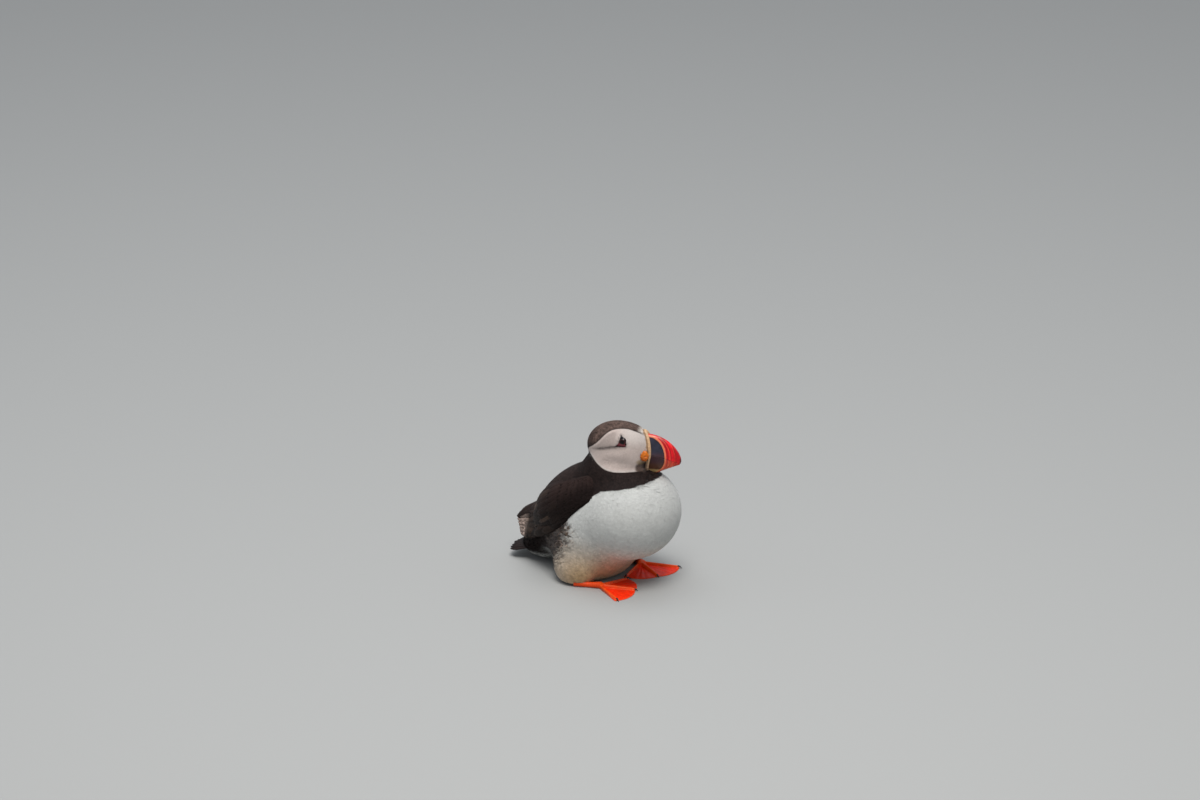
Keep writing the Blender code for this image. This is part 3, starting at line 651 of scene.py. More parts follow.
def barb_group():
    """Node group: from a feather's own map, tone and height of fine barbs that slant out from its shaft."""
    group = bpy.data.node_groups.get("Barbs")
    if group:
        return group
    group = bpy.data.node_groups.new("Barbs", "ShaderNodeTree")
    group.interface.new_socket("Count", in_out="INPUT", socket_type="NodeSocketFloat").default_value = 30
    group.interface.new_socket("Tone", in_out="OUTPUT", socket_type="NodeSocketFloat")
    group.interface.new_socket("Height", in_out="OUTPUT", socket_type="NodeSocketFloat")
    nodes, links = group.nodes, group.links
    entry, leave = nodes.new("NodeGroupInput"), nodes.new("NodeGroupOutput")
    vane = nodes.new("ShaderNodeUVMap")
    vane.uv_map = "vane"
    parts = nodes.new("ShaderNodeSeparateXYZ")
    links.new(vane.outputs[0], parts.inputs[0])

    def maths(operation, a, b=None):
        made = nodes.new("ShaderNodeMath")
        made.operation = operation
        for index, value in enumerate((a, b)):
            if value is None:
                continue
            if isinstance(value, (int, float)):
                made.inputs[index].default_value = value
            else:
                links.new(value, made.inputs[index])
        return made.outputs[0]

    aside = maths("ABSOLUTE", maths("SUBTRACT", parts.outputs[0], 0.5))
    slant = maths("SUBTRACT", parts.outputs[1], maths("MULTIPLY", aside, 0.7))
    wave = maths("SINE", maths("MULTIPLY", maths("MULTIPLY", slant, entry.outputs[0]), 2 * math.pi))
    shaft = maths("MULTIPLY", maths("LESS_THAN", aside, 0.035), 0.6)
    links.new(maths("ADD", maths("MULTIPLY", wave, 0.03), 0.98), leave.inputs["Tone"])
    links.new(maths("ADD", wave, shaft), leave.inputs["Height"])
    return group


def plumage_finish(name, roughness, sheen, grain, barbs, bump=0.00004, specular=0.12):
    """Feather: the colour held by each feather, broken by soft patches, grain and the lines of its barbs."""
    made = Finish(
        name, Roughness=roughness, Sheen_Weight=sheen, Sheen_Roughness=0.5, Specular_IOR_Level=specular)
    lines = made.node("ShaderNodeGroup")
    lines.node_tree = barb_group()
    lines.inputs["Count"].default_value = barbs
    patch = made.span(made.noise(160, 4, 0.6), 0.3, 0.7, 1 - grain, 1 + grain * 0.6)
    fine = made.span(made.noise(1400, 2, 0.6), 0.3, 0.7, 1 - grain * 0.8, 1 + grain * 0.5)
    tone = made.math("MULTIPLY", made.math("MULTIPLY", patch, fine), lines.outputs["Tone"])
    made.feed("Base Color", made.shade(made.attribute("plumage").outputs["Color"], tone))
    made.bump(lines.outputs["Height"], bump, 0.6)
    return made.material


# --- markings -------------------------------------------------------------------------------------
def ripple(points, size, seed):
    """Soft wandering value from -1 to 1: a sum of turned sine waves of about this wavelength."""
    rng = np.random.default_rng(seed)
    total = 0
    for octave in range(5):
        way = unit(rng.normal(size=3)) * 2 * math.pi / (size * rng.uniform(0.6, 1.5))
        wave = np.sin(points @ way + rng.uniform(0, 6.3))
        total = total + wave * np.cos(points @ np.roll(way, 1) * 0.7 + octave)
    return np.clip(total / 2.2, -1, 1)


def white_margin(points):
    """How far a point is inside the white of breast and belly, mm; negative on collar, wings and back."""
    x, y, z = axes(points)
    around = np.arctan2(y, x - NECK_AXIS)
    collar = COLLAR_LOW + COLLAR_DIP * np.cos(np.clip(around, -1.55, 1.55)) ** 2 - z
    edge = np.interp(z, *np.transpose(FLANK_EDGE))
    return np.minimum(collar, (x - edge) * 0.75)


def scrambled(chance):
    """A second random share out of a first one: what is left over of a large multiple of it."""
    return (chance * 37.7) % 1.0


def body_colour(points, normals, settings, chance):
    """White below and dark above a line round the collar, down the wing's edge and through a mottled flank.

    It is white again under the tail. Also returns how mottled it is there."""
    x, _, z = axes(points)
    # Low on the belly the white turns warm and darker: a stain, with painted shade towards the ground
    stained_and_shaded = smooth(56, 4, z + 0.12 * x) * smooth(-66, -48, x)
    stained_and_shaded = stained_and_shaded * mix(0.6, 1.0, smooth(-38, -8, x))
    white = mix(settings.white, settings.stain_and_shade, stained_and_shaded)
    margin = white_margin(points) + 0.3 * ripple(points, 9, 3)
    low = smooth(62, 56, z)
    crisp = smooth(0.25, -0.25, margin)
    soft = smooth(14, -11, margin + 1.6 * ripple(points, 12, 5))
    between = 4 * soft * (1 - soft)
    mottle = between * low
    spots = np.clip(1.5 * soft - 0.25 + (scrambled(chance) - 0.5) * 1.5 * between, 0, 1)
    spots = spots * mix(0.6, 1.0, smooth(0.2, 0.7, soft))
    dark_share = mix(crisp, spots, low)
    worn = smooth(-12, -26, x) * low * smooth(-70, -54, x)
    black = mix(settings.black, settings.worn, np.clip(worn * (0.1 + 0.9 * chance), 0, 1))
    black = mix(black, settings.bleached, mottle * (chance > 0.86) * 0.6)
    # A lighter brown cast over the top of the back, varied per feather: painted sheen
    mantle = smooth(-20, -50, x) * smooth(58, 66, z)
    black = mix(black, settings.crown, 0.12 * mantle * (0.6 + 0.8 * scrambled(chance)))
    under = smooth(-0.45, -0.75, normals[..., 2]) * smooth(-56, -66, x)
    return mix(white, black, dark_share * (1 - under)), mottle


def crown_colour(points, settings, margin):
    """Mottled brown with a pale forehead, darker along the cheeks' edge and towards the nape."""
    x, _, z = axes(to_head(points))
    front = smooth(15.5, 20.5, x) * smooth(12.5, 15.5, z)
    crown = mix(settings.crown, settings.forehead, front)
    crown = crown * (1 + 0.28 * ripple(points, 2.6, 17) + 0.12 * ripple(points, 6, 19))[..., None]
    crown = mix(crown, settings.black, smooth(1.6, 0.2, margin) * 0.8 * smooth(24, 20, x))
    crown = mix(crown, settings.black, smooth(-17, -27, x) * 0.5)
    return mix(crown, settings.black, smooth(4, -4, z + 0.15 * x))


def cheek_colour(flat, settings, margin, eye):
    """Pale, paler at its lower rim, grey by the gape, and darker along the fold and round the eye; the dark
    along the fold and above it towards the back is painted shade.
    """
    x, z = flat[..., 0], flat[..., 1]
    cheek = mix(settings.cheek, settings.white, 0.3 * smooth(2, 14, z) * smooth(-4, 12, x))
    rim = np.exp(-(((margin + 0.8) / 0.7) ** 2))
    cheek = mix(cheek, settings.white, 0.35 * rim * smooth(2, -6, z))
    smudge = smooth(6.2, 3.6, np.hypot((x - 22.5) / 0.95, z + 13.0))
    cheek = mix(cheek, settings.smudge, smudge * 0.92)
    tinge = smooth(5.5, 2.5, np.hypot(x - 22.5, (z + 7.6) / 0.6))
    cheek = mix(cheek, GAPE_TINGE, tinge * 0.55)
    # Above the fold, behind the eye, the cheek is darker: painted shade under the fold
    above = smooth(0, 3, np.interp(x, *np.transpose((CREASE[-1], CREASE[0]))) - z + 1.5)
    back = smooth(3, -3, x) * (1 - above)
    cheek = cheek * (1 - 0.3 * back * smooth(0.3, 2.5, -margin))[..., None]
    # Darker along the fold itself: painted shade in the crease
    fold = line_distance(flat, CREASE)
    fold_shade = 0.34 * np.exp(-((fold / 0.8) ** 2)) + 0.22 * np.exp(-((fold / 2.2) ** 2))
    cheek = cheek * (1 - fold_shade * smooth(-24, -14, x))[..., None]
    return cheek * (1 - 0.22 * smooth(2.6, 0.2, eye))[..., None]


def plumage_colour(points, normals, settings, chance):
    """Colour of the coat at points, and how mottled it is; chance is one random share per feather."""
    flat = to_head(points)[..., [0, 2]]
    on_head = head_share(points)
    margin = line_distance(flat, CHEEK_LOOP, closed=True)
    eye = line_distance(flat, EYE_TRIANGLE, closed=True)
    body, mottle = body_colour(points, normals, settings, chance)
    crown = crown_colour(points, settings, margin)
    face = mix(cheek_colour(flat, settings, margin, eye), crown, smooth(-0.2, 0.2, margin))
    face = mix(face, np.array(settings.black) * 0.6, smooth(0.35, -0.25, eye))
    return mix(body, face, on_head), np.clip(mottle, 0, 1) * (1 - on_head)


def lie(points, normals):
    """Unit direction in which feathers lie: back over the head, down the breast, back along the trunk."""
    local = to_head(points)
    on_head = head_share(points)[..., None]
    backward = np.array([-1.0, 0.0, -0.28]) @ HEAD_MATRIX.T
    front = smooth(-30, 15, points[..., 0])[..., None]
    trunk = np.array([-1.0, 0.0, -0.35]) * (1 - front) + np.array([-0.35, 0.0, -1.0]) * front
    neck = smooth(80, 100, points[..., 2])[..., None]
    trunk = trunk * (1 - neck) + np.array([-0.5, 0.0, -0.9]) * neck
    chin = smooth(8, 20, local[..., 0:1]) * smooth(-10, -16, local[..., 2:3])
    way = trunk * (1 - on_head) + backward * on_head + chin * np.array([0, 0, -0.4])
    way = way - (way * normals).sum(-1, keepdims=True) * normals
    return unit(way + 1e-6)


# --- skin -----------------------------------------------------------------------------------------
def body_rings(columns, rows):
    """Rings of the skin, the coat's depth under its surface, with the folds of the face pressed in."""
    rings = ray_rings(columns, *rows)
    for _ in range(2):
        lack = surface(rings) + coat_depth(rings)
        rings = rings - outward(rings) * lack[..., None]
    return rings


def make_skin(settings):
    """One skin for trunk, neck and head with the wings' and tail's flesh, as closed shells in one mesh."""
    rings = body_rings(*SKIN_GRID)
    rows, columns = rings.shape[:2]
    flat, (quads, caps) = closed_rings(rings)
    points, faces, count = [flat], [quads], len(flat)
    u, v = np.meshgrid(np.arange(columns) / columns, np.linspace(0.02, 0.68, rows))
    maps = [np.stack([u, v], -1).reshape(-1, 2), np.array([[0.5, 0.01], [0.5, 0.69]])]
    for place, side in ((0.72, 1), (0.86, -1)):
        along, across = np.meshgrid(np.linspace(0.02, 0.93, 40), np.linspace(0.04, 0.96, 14), indexing="ij")
        outer, way = wing_sheet(side, along, across, -1.3)
        inner = outer - way * (1.0 + 5.0 * (1 - along[..., None]) ** 1.5)
        if side > 0:
            outer, inner = outer[:, ::-1], inner[:, ::-1]
        shell = np.concatenate([outer, inner[:, ::-1]], axis=1)
        ring = shell.shape[1]
        points.append(shell.reshape(-1, 3))
        faces.append(grid_faces(len(shell), ring, closed=True, start=count))
        for edge, back in ((count, False), (count + (len(shell) - 1) * ring, True)):
            top, bottom = edge + np.arange(ring // 2), edge + ring - 1 - np.arange(ring // 2)
            cap = np.stack([top[:-1], bottom[:-1], bottom[1:], top[1:]], -1)
            faces.append(cap[:, ::-1] if back else cap)
        u, v = np.meshgrid(np.linspace(0, 1, ring) * 0.9, np.linspace(0, 0.12, len(shell)))
        maps.append(np.stack([u, v + place], -1).reshape(-1, 2))
        count += shell.shape[0] * ring
    points = np.concatenate(points)
    material = plumage_finish("skin_down", 0.9, 0.1, 0.12, 8)
    nodes = ("trunk", "neck", "head", "wing_left", "wing_right", "tail")
    skin = sculpt("skin", points, [*faces, caps], material, nodes)
    slope = outward(points)
    colour, _ = plumage_colour(points, slope, settings, np.full(len(points), 0.5))
    colour[len(flat):] = settings.black
    # The skin is 0.8 as bright as the coat's colours: painted shade under the feathers
    point_colour(skin, "plumage", colour * 0.8)
    point_map(skin, "OFBake", np.concatenate(maps))
    point_map(skin, "vane", np.concatenate(maps))


# --- small feathers -------------------------------------------------------------------------------
def zip_rows(low, high, low_place, high_place):
    """Triangles between two rows of points, always taking the shorter of the two next edges across."""
    a = b = 0
    faces = []
    while a < len(low) - 1 or b < len(high) - 1:
        step_low = b == len(high) - 1
        if a < len(low) - 1 and not step_low:
            across_low = math.dist(low_place[a + 1], high_place[b])
            step_low = across_low <= math.dist(low_place[a], high_place[b + 1])
        faces.append((low[a], low[a + 1], high[b]) if step_low else (low[a], high[b + 1], high[b]))
        a, b = a + step_low, b + (not step_low)
    return faces


def plume_shape():
    """One small feather: rows of points at stations along it, widening from its root and split at its tip.

    Gives for each point its station, its step ahead of it as a share of the length and its place across from
    -1 to 1, and the triangles between them."""
    rows = [[(0, 0.0, 0.0)]]
    rows.append([(1, 0.0, across) for across in (-0.8, 0.0, 0.8)])
    rows.append([(2, 0.0, across) for across in (-1, -0.5, 0, 0.5, 1)])
    tips = []
    for index in range(2 * FINGERS - 1):
        across = (index / (2 * FINGERS - 2) * 2 - 1) * 0.95
        ahead = 0.13 - 0.2 * across**2 if index % 2 == 0 else -0.02 - 0.13 * across**2
        tips.append((3, ahead, across))
    rows.append(tips)
    points = [point for row in rows for point in row]
    faces, start = [], 0
    for low, high in zip(rows, rows[1:]):
        low_spots = list(range(start, start + len(low)))
        high_spots = list(range(start + len(low), start + len(low) + len(high)))
        places = [[(p[2], STATIONS[p[0]] + p[1]) for p in row] for row in (low, high)]
        faces += zip_rows(low_spots, high_spots, *places)
        start += len(low)
    return np.array(points), np.array(faces)[:, ::-1]


PLUME_POINTS, PLUME_FACES = plume_shape()


def lay_spines(roots, lengths, lift, swing):
    """Stations of each feather from its root: steps along the lie, each put back at its own depth.

    The depth falls from the skin's at the root to lift, outside the surface, at the tip. swing turns the
    feather in the surface. Returns the stations' points, outward directions and side directions."""
    point = roots
    laid = []
    for station, share in enumerate(STATIONS):
        normal = outward(point)
        depth = coat_depth(point) * (1 - share) ** 2.8 - lift * share**2 - 0.06 * (1 - share)
        point = point - normal * (surface(point) + depth)[:, None]
        way = lie(point, normal)
        side = np.cross(normal, way)
        way = way * np.cos(swing)[:, None] + side * np.sin(swing)[:, None]
        laid.append((point, normal, np.cross(normal, way)))
        if station + 1 < len(STATIONS):
            point = point + way * (lengths * (STATIONS[station + 1] - share))[:, None]
    return [np.stack(part, 1) for part in zip(*laid)]


def scatter(points, spacing, rng):
    """Indices of well-spread points: one for each cube of space, less those too near a neighbour."""
    cell = spacing * 0.8
    key = np.floor(points / cell).astype(np.int64) + 4096
    code = (key[:, 0] << 32) + (key[:, 1] << 16) + key[:, 2]
    order = rng.permutation(len(points))
    _, first = np.unique(code[order], return_index=True)
    kept = order[first]
    codes = code[kept]
    rank = rng.random(len(kept))
    alive = np.ones(len(kept), bool)
    for x, y, z in itertools.product((-1, 0, 1), repeat=3):
        if (x, y, z) == (0, 0, 0):
            continue
        wanted = codes + (x << 32) + (y << 16) + z
        spot = np.clip(np.searchsorted(codes, wanted), 0, len(codes) - 1)
        match = codes[spot] == wanted
        near = np.linalg.norm(points[kept] - points[kept][spot], axis=1) < spacing * 0.72
        alive &= ~(match & near & (rank < rank[spot]))
    return kept[alive]


def wing_cover(points):
    """True where a point of the body lies well under a folded wing."""
    covered = np.zeros(len(points), bool)
    for side in (1, -1):
        along, across = np.meshgrid(np.linspace(0, 1, 46), np.linspace(0, 1, 16), indexing="ij")
        sheet, _ = wing_sheet(side, along, across)
        inner = ((along > 0.15) & (along < 0.9) & (across > 0.1) & (across < 0.93)).ravel()
        sheet = sheet.reshape(-1, 3)
        for part in np.array_split(np.arange(len(points)), 40):
            gaps = ((points[part, None] - sheet[None]) ** 2).sum(-1)
            nearest = gaps.argmin(1)
            covered[part] |= inner[nearest] & (gaps.min(1) < 12.0**2)
    return covered


def head_zones(points):
    """Which points are on the head, and which are inside the outline of a cheek."""
    cheek = line_distance(to_head(points)[:, [0, 2]], CHEEK_LOOP, closed=True) < 0.0
    return head_share(points) > 0.5, cheek


def region_of(points, margin):
    """Index into REGIONS for each point."""
    on_head, cheek = head_zones(points)
    x, y, z = points.T
    region = np.where(z > 62, 3, 4)
    flank = (x < 2) & (margin < 12) & (np.abs(y) > 12) & (z < 66)
    region = np.where(flank, np.where(y > 0, 5, 6), region)
    region = np.where(x < -62, 8, region)
    region = np.where((margin < 0) & (x > -75) & (z > 56), 7, region)
    region = np.where((z > 84) & (margin < 1.5), 2, region)
    return np.where(on_head, np.where(cheek, 0, 1), region)


def bare(roots):
    """True where no plume grows: under horn, rosettes and eyes, and flat on the ground."""
    local = to_head(roots)
    x, _, z = local.T
    horn = (x > ridge_line(z) - 1.4) & (z > -19.5)
    rosette = np.hypot((x - ROSETTE_PLACE[0]) / 2.9, (z - ROSETTE_PLACE[2]) / 3.9) < 1
    eye = (line_distance(local[:, [0, 2]], EYE_TRIANGLE, closed=True) < 0.15) & (z > 0)
    return (head_share(roots) > 0.5) & (horn | rosette | eye) | (roots[:, 2] < 0.9)


def plume_roots(settings):
    """Feather roots scattered over the skin, with the skin's unwrap there and the random source used.

    Points are drawn on the skin's quads by area over spacing squared, thinned to their spacing, and left off
    where wings and horn cover them."""
    rings = body_rings(*ROOT_GRID)
    rows, columns = rings.shape[:2]
    after = np.roll(rings, -1, axis=1)
    corner = np.stack([rings[:-1], after[:-1], rings[1:], after[1:]], axis=2).reshape(-1, 4, 3)
    spread = np.cross(corner[:, 3] - corner[:, 0], corner[:, 2] - corner[:, 1])
    area = np.linalg.norm(spread, axis=1) / 2
    on_head, cheek = head_zones(corner.mean(1))
    kinds = (settings.face_spacing, settings.head_spacing, settings.body_spacing)
    spacing = np.where(on_head, np.where(cheek, kinds[0], kinds[1]), kinds[2])
    weight = area / spacing**2
    rng = np.random.default_rng(settings.seed)
    face = rng.choice(len(corner), size=int(weight.sum() * 7), p=weight / weight.sum())
    s, t = rng.random((2, len(face)))
    pick = corner[face]
    mixed = (1 - s) * (1 - t), s * (1 - t), (1 - s) * t, s * t
    roots = sum(pick[:, k] * share[:, None] for k, share in enumerate(mixed))
    row, column = face // columns, face % columns
    places = np.stack([(column + s) / columns, (row + t + 0.5) / rows], -1)
    groups = [np.nonzero(spacing[face] == kind)[0] for kind in kinds]
    kept = np.concatenate([group[scatter(roots[group], kind, rng)] for kind, group in zip(kinds, groups)])
    kept = kept[~bare(roots[kept])]
    kept = kept[~wing_cover(roots[kept])]
    return roots[kept], places[kept], rng


def plume_sizes(roots, margin, rng):
    """Length, half width, lift of the tip and sideways swing of each feather, by where it grows."""
    local = to_head(roots)
    on_head = head_share(roots)
    cheek = smooth(0.5, -0.5, line_distance(local[:, [0, 2]], CHEEK_LOOP, closed=True))
    length = mix(mix(7.4, 3.2, on_head), 3.0, on_head * cheek)
    ragged = smooth(16, 4, margin) * smooth(64, 50, roots[:, 2]) * (1 - on_head)
    tail_end = smooth(-58, -72, roots[:, 0])
    length = length + 5.5 * ragged + 2.0 * tail_end
    length = length * mix(1.0, 0.6, smooth(80, 100, roots[:, 2]) * (1 - on_head))
    fine = smooth(48, 20, roots[:, 2]) * (1 - on_head)
    half = mix(mix(1.9 - 0.5 * fine, 0.9, on_head), 0.98, cheek * on_head) * (1 - 0.58 * ragged)
    lift = mix(mix(0.03, 0.04, on_head), 0.0, cheek * on_head)
    lift = lift + 0.9 * ragged * rng.random(len(roots)) ** 2
    lift = lift + 0.35 * fine * rng.random(len(roots)) ** 2
    lift = lift + 0.5 * tail_end * rng.random(len(roots))
    swing = rng.normal(size=len(roots)) * (0.1 + 0.28 * ragged)
    half = half * rng.uniform(0.85, 1.15, len(roots))
    length = length * rng.uniform(0.85, 1.15, len(roots))
    room = line_distance(local[:, [0, 2]], EYE_TRIANGLE, closed=True) * 0.9 + 0.35
    ahead = (local[:, 0] > 1) & (on_head > 0.5)
    length = np.where(ahead, np.minimum(length, np.maximum(room, 0.5)), length)
    return length, half, lift, swing, ragged


def plume_mesh(roots, places, sizes, settings, rng):
    """Points, shading directions, colours and both maps of small feathers, each as PLUME_POINTS has it."""
    length, half, lift, swing, ragged = sizes
    spots, normals, sides = lay_spines(roots, length, lift, swing)
    ways = np.cross(sides, normals)
    station = PLUME_POINTS[:, 0].astype(int)
    ahead, across = PLUME_POINTS[:, 1], PLUME_POINTS[:, 2]
    count, each = len(roots), len(PLUME_POINTS)
    tip = station == len(STATIONS) - 1
    stray = np.clip(rng.normal(size=(count, each)), -0.9, 1.6) * tip
    stray_side = rng.uniform(-0.045, 0.045, (count, each)) * tip
    forward = (ahead[None] + stray * 0.04 * (1 + 0.6 * ragged[:, None])) * length[:, None]
    aside = (across[None] + stray_side) * half[:, None]
    up = -0.09 * (across[None] ** 2) * half[:, None]
    base = spots[:, station]
    points = base + ways[:, station] * forward[..., None] + sides[:, station] * aside[..., None]
    points = points + normals[:, station] * up[..., None]
    points[..., 2] = np.maximum(points[..., 2], 0.25)
    roll = rng.normal(size=(count, 1)) * (0.05 + 0.12 * ragged[:, None])
    pitch = rng.normal(size=(count, 1)) * (0.04 + 0.06 * ragged[:, None])
    bend = (0.14 * across[None] + roll)[..., None]
    shading = normals[:, station] + sides[:, station] * bend + ways[:, station] * pitch[..., None]
    chance = rng.random((count, 1))
    outer_part = (spots[:, 2] * 0.4 + spots[:, 3] * 0.6)[:, None]
    seen = np.where((roots[:, 2] > 58)[:, None, None], points, outer_part)
    chances = np.broadcast_to(chance, (count, each))
    colour, mottle = plumage_colour(seen, normals[:, station], settings, chances)
    deep = smooth(0.3, 0.05, colour[..., 1])
    streaked = 0.02 + 0.07 * smooth(60, 38, roots[:, 2])[:, None]
    bright = 1 + rng.normal(size=(count, 1)) * (streaked + 0.18 * deep)
    # Darker towards each feather's root: its grey base, with painted shade under the feathers that overlap it
    root_grey_and_shade = np.array([0.5, 0.3, 0.1, 0.0])[station][None] * (0.25 + 0.75 * deep)
    colour = colour * (bright * (1 - root_grey_and_shade))[..., None]
    edge = np.abs(across)[None] * tip
    pale = mottle * (edge > 0.55) * 0.4 * (rng.random((count, 1)) < 0.5)
    colour = mix(colour, np.array(settings.stain_and_shade) * 0.9, pale)
    patch = np.stack([across / 2 + 0.5, np.array(STATIONS)[station] + ahead], -1)
    bake = places[:, None] + (patch[None] - 0.5) * PATCH
    vane = np.broadcast_to(patch[None], (count, each, 2))
    return points, shading, np.clip(colour, 0, 1), bake, vane


def make_coat(settings):
    """Small feathers over the whole body: one piece for each region, or more where it would be too large."""
    roots, places, rng = plume_roots(settings)
    margin = white_margin(roots)
    region = region_of(roots, margin)
    face = plumage_finish("face_plush", 0.85, 0.25, 0.05, 10, 0.000012), "face_plumage"
    white = plumage_finish("white_feather", 0.75, 0.2, 0.06, 16, 0.000018), "white_plumage"
    dark = plumage_finish("dark_feather", 0.6, 0.0, 0.2, 16), "dark_plumage"
    finishes = {"face": face, "crown": dark, "neck": dark, "back": dark, "rump": dark}
    most = MOST_TRIANGLES // len(PLUME_FACES)
    total = 0
    for index, name in enumerate(REGIONS):
        spots = np.nonzero(region == index)[0]
        material, slot = finishes.get(name, white)
        for part, group in enumerate(np.array_split(spots, max(1, math.ceil(len(spots) / most)))):
            if not len(group):
                continue
            sizes = plume_sizes(roots[group], margin[group], rng)
            parts = plume_mesh(roots[group], places[group], sizes, settings, rng)
            points, shading, colour, bake, vane = parts
            label = f"coat_{name}" if part == 0 else f"coat_{name}_{part + 1}"
            faces = repeat_faces(PLUME_FACES, len(group), len(PLUME_POINTS))
            piece = sculpt(label, points, [faces], material)
            point_colour(piece, "plumage", colour)
            point_map(piece, "OFBake", bake)
            point_map(piece, "vane", vane)
            point_normals(piece, shading)
            total += len(faces)
    print("coat triangles", total)


# --- long feathers --------------------------------------------------------------------------------
def vane_grid():
    """Rows along and places across one long feather, its width at each row and the faces of its lens.

    The width rises quickly from the quill, stays full, and rounds off at the tip: a power of the way along,
    times the square root of one less a power of a smooth S near the tip."""
    along = np.linspace(0, 1, VANE_ROWS)
    across = np.linspace(-1, 1, VANE_COLUMNS)
    rounding = np.clip(1 - smooth(0.72, 1.04, along) ** 1.5, 0.02, 1)
    width = np.minimum(1, (along + 0.03) / 0.3) ** 0.6 * np.sqrt(rounding)
    top = np.arange(VANE_ROWS * VANE_COLUMNS).reshape(VANE_ROWS, VANE_COLUMNS)
    inner = VANE_ROWS * VANE_COLUMNS + np.arange(VANE_ROWS * (VANE_COLUMNS - 2)).reshape(VANE_ROWS, -1)
    bottom = np.concatenate([top[:, :1], inner, top[:, -1:]], axis=1)
    faces = []
    for grid, flip in ((top, False), (bottom, True)):
        quad = np.stack([grid[:-1, :-1], grid[:-1, 1:], grid[1:, 1:], grid[1:, :-1]], -1).reshape(-1, 4)
        faces.append(quad if flip else quad[:, ::-1])
    for row, flip in ((0, False), (VANE_ROWS - 1, True)):
        cap = np.stack([top[row, :-1], bottom[row, :-1], bottom[row, 1:], top[row, 1:]], -1)
        faces.append(cap if flip else cap[:, ::-1])
    faces = np.concatenate(faces)
    split = np.concatenate([faces[:, [0, 1, 2]], faces[:, [0, 2, 3]]])
    plain = (split[:, 0] != split[:, 1]) & (split[:, 1] != split[:, 2]) & (split[:, 0] != split[:, 2])
    return along, across, width, split[plain]


VANE_ALONG, VANE_ACROSS, VANE_WIDTH, VANE_FACES = vane_grid()


def vane_mesh(spines, normals, half, thick=0.3, camber=0.12):
    """Points and map of long feathers on spines (feather, row, xyz): closed lenses bent over the body."""
    ways = np.gradient(spines, axis=1)
    sides = unit(np.cross(normals, unit(ways)))
    normals = unit(np.cross(unit(ways), sides))
    across = VANE_ACROSS[None, None, :]
    reach = across * VANE_WIDTH[None, :, None] * half[:, None, None]
    sag = camber * across**2 * half[:, None, None]
    crown = thick * (1 - across**2) - sag * VANE_WIDTH[None, :, None]
    middle = spines[:, :, None] + sides[:, :, None] * reach[..., None]
    top = middle + normals[:, :, None] * crown[..., None]
    low = middle - normals[:, :, None] * (0.05 + sag)[..., None]
    count = len(spines)
    points = np.concatenate([top.reshape(count, -1, 3), low[:, :, 1:-1].reshape(count, -1, 3)], axis=1)
    u, v = np.meshgrid(VANE_ACROSS / 2 + 0.5, VANE_ALONG)
    patch = np.stack([u, v], -1)
    vane = np.concatenate([patch.reshape(-1, 2), patch[:, 1:-1].reshape(-1, 2)])
    return points, np.broadcast_to(vane[None], (count, len(vane), 2))


def each_point(above, below):
    """Values for the rows of a long feather, on top and underneath, spread over its points."""
    return np.concatenate([np.repeat(above, VANE_COLUMNS, -1), np.repeat(below, VANE_COLUMNS - 2, -1)], -1)


def wing_feathers(side, settings, rng):
    """Rows of long feathers and coverts laid on the folded wing, from its tip to its shoulder.

    Each row is shorter than the one it covers. A feather's spine runs along the wing and leans downwards."""
    rows = []
    for start, reach, count, half, top, lean in WING_ROWS:
        offset = 0.25 if len(rows) % 2 else 0.0
        across = np.clip((np.arange(count) + 0.5 + offset) / (count + 0.3), 0.03, 0.97)
        along = np.full(count, start) + rng.uniform(-0.008, 0.008, count)
        rows.append(np.column_stack([along, across, np.tile((reach, half, top, lean), (count, 1))]))
    along, across, reach, half, top, lean = np.concatenate(rows).T
    count = len(along)
    run = along[:, None] + reach[:, None] * VANE_ALONG[None]
    t = np.clip(run, 0, 1)
    s = across[:, None] - lean[:, None] * VANE_ALONG[None] + rng.normal(size=(count, 1)) * 0.006
    s = np.clip(s, 0.02, 0.98)
    lift = -1.1 + 1.0 * top[:, None] + 0.55 * VANE_ALONG[None] ** 2 + rng.uniform(-0.08, 0.08, (count, 1))
    spines, ways = wing_sheet(side, t, s, lift)
    spines[..., 0] -= np.maximum(0, run - 1) * 20
    taper = mix(1.0, 0.55, smooth(0.5, 0.75, along))
    half = half * taper * rng.uniform(0.93, 1.07, count)
    points, vane = vane_mesh(spines, ways, half)
    rear = smooth(0.42, 0.7, t[:, -1]) * smooth(1.0, 0.7, s.mean(1))
    chance = rng.random(count)
    # Lighter towards the upper edge of the folded wing: painted sheen of the light from above
    dark = np.array(settings.black) * (0.6 + 1.2 * smooth(0.4, 0.9, across))[:, None]
    dark = dark * mix(1.0, 0.45 + 0.7 * scrambled(chance), rear)[:, None]
    colour = mix(dark, settings.worn, np.clip(rear * 1.5 * chance**4, 0, 1))
    pale = smooth(0.81, 0.86, t) * smooth(0.84, 0.68, s)
    colour = mix(colour[:, None], settings.bleached, each_point(pale, pale) * (0.7 + 0.3 * chance)[:, None])
    # Darker towards each feather's quill and darker still on its underside: painted shade
    colour = colour * each_point(0.8 + 0.2 * VANE_ALONG, 0.7 + 0.2 * VANE_ALONG)[None, :, None]
    edges = np.tile(np.abs(VANE_ACROSS) ** 3, VANE_ROWS)
    edges = np.concatenate([edges, np.zeros(VANE_ROWS * (VANE_COLUMNS - 2))])
    rim = np.maximum(edges, each_point(smooth(0.85, 1, VANE_ALONG), 0 * VANE_ALONG))
    colour = mix(colour, np.array(settings.worn) * 1.25, rim[None] * (0.07 + 0.22 * rear)[:, None])
    place = np.stack([0.03 + 0.94 * along, 0.03 + 0.94 * across], -1)
    bake = place[:, None] + (vane - 0.5) * PATCH
    return points, colour, bake, vane


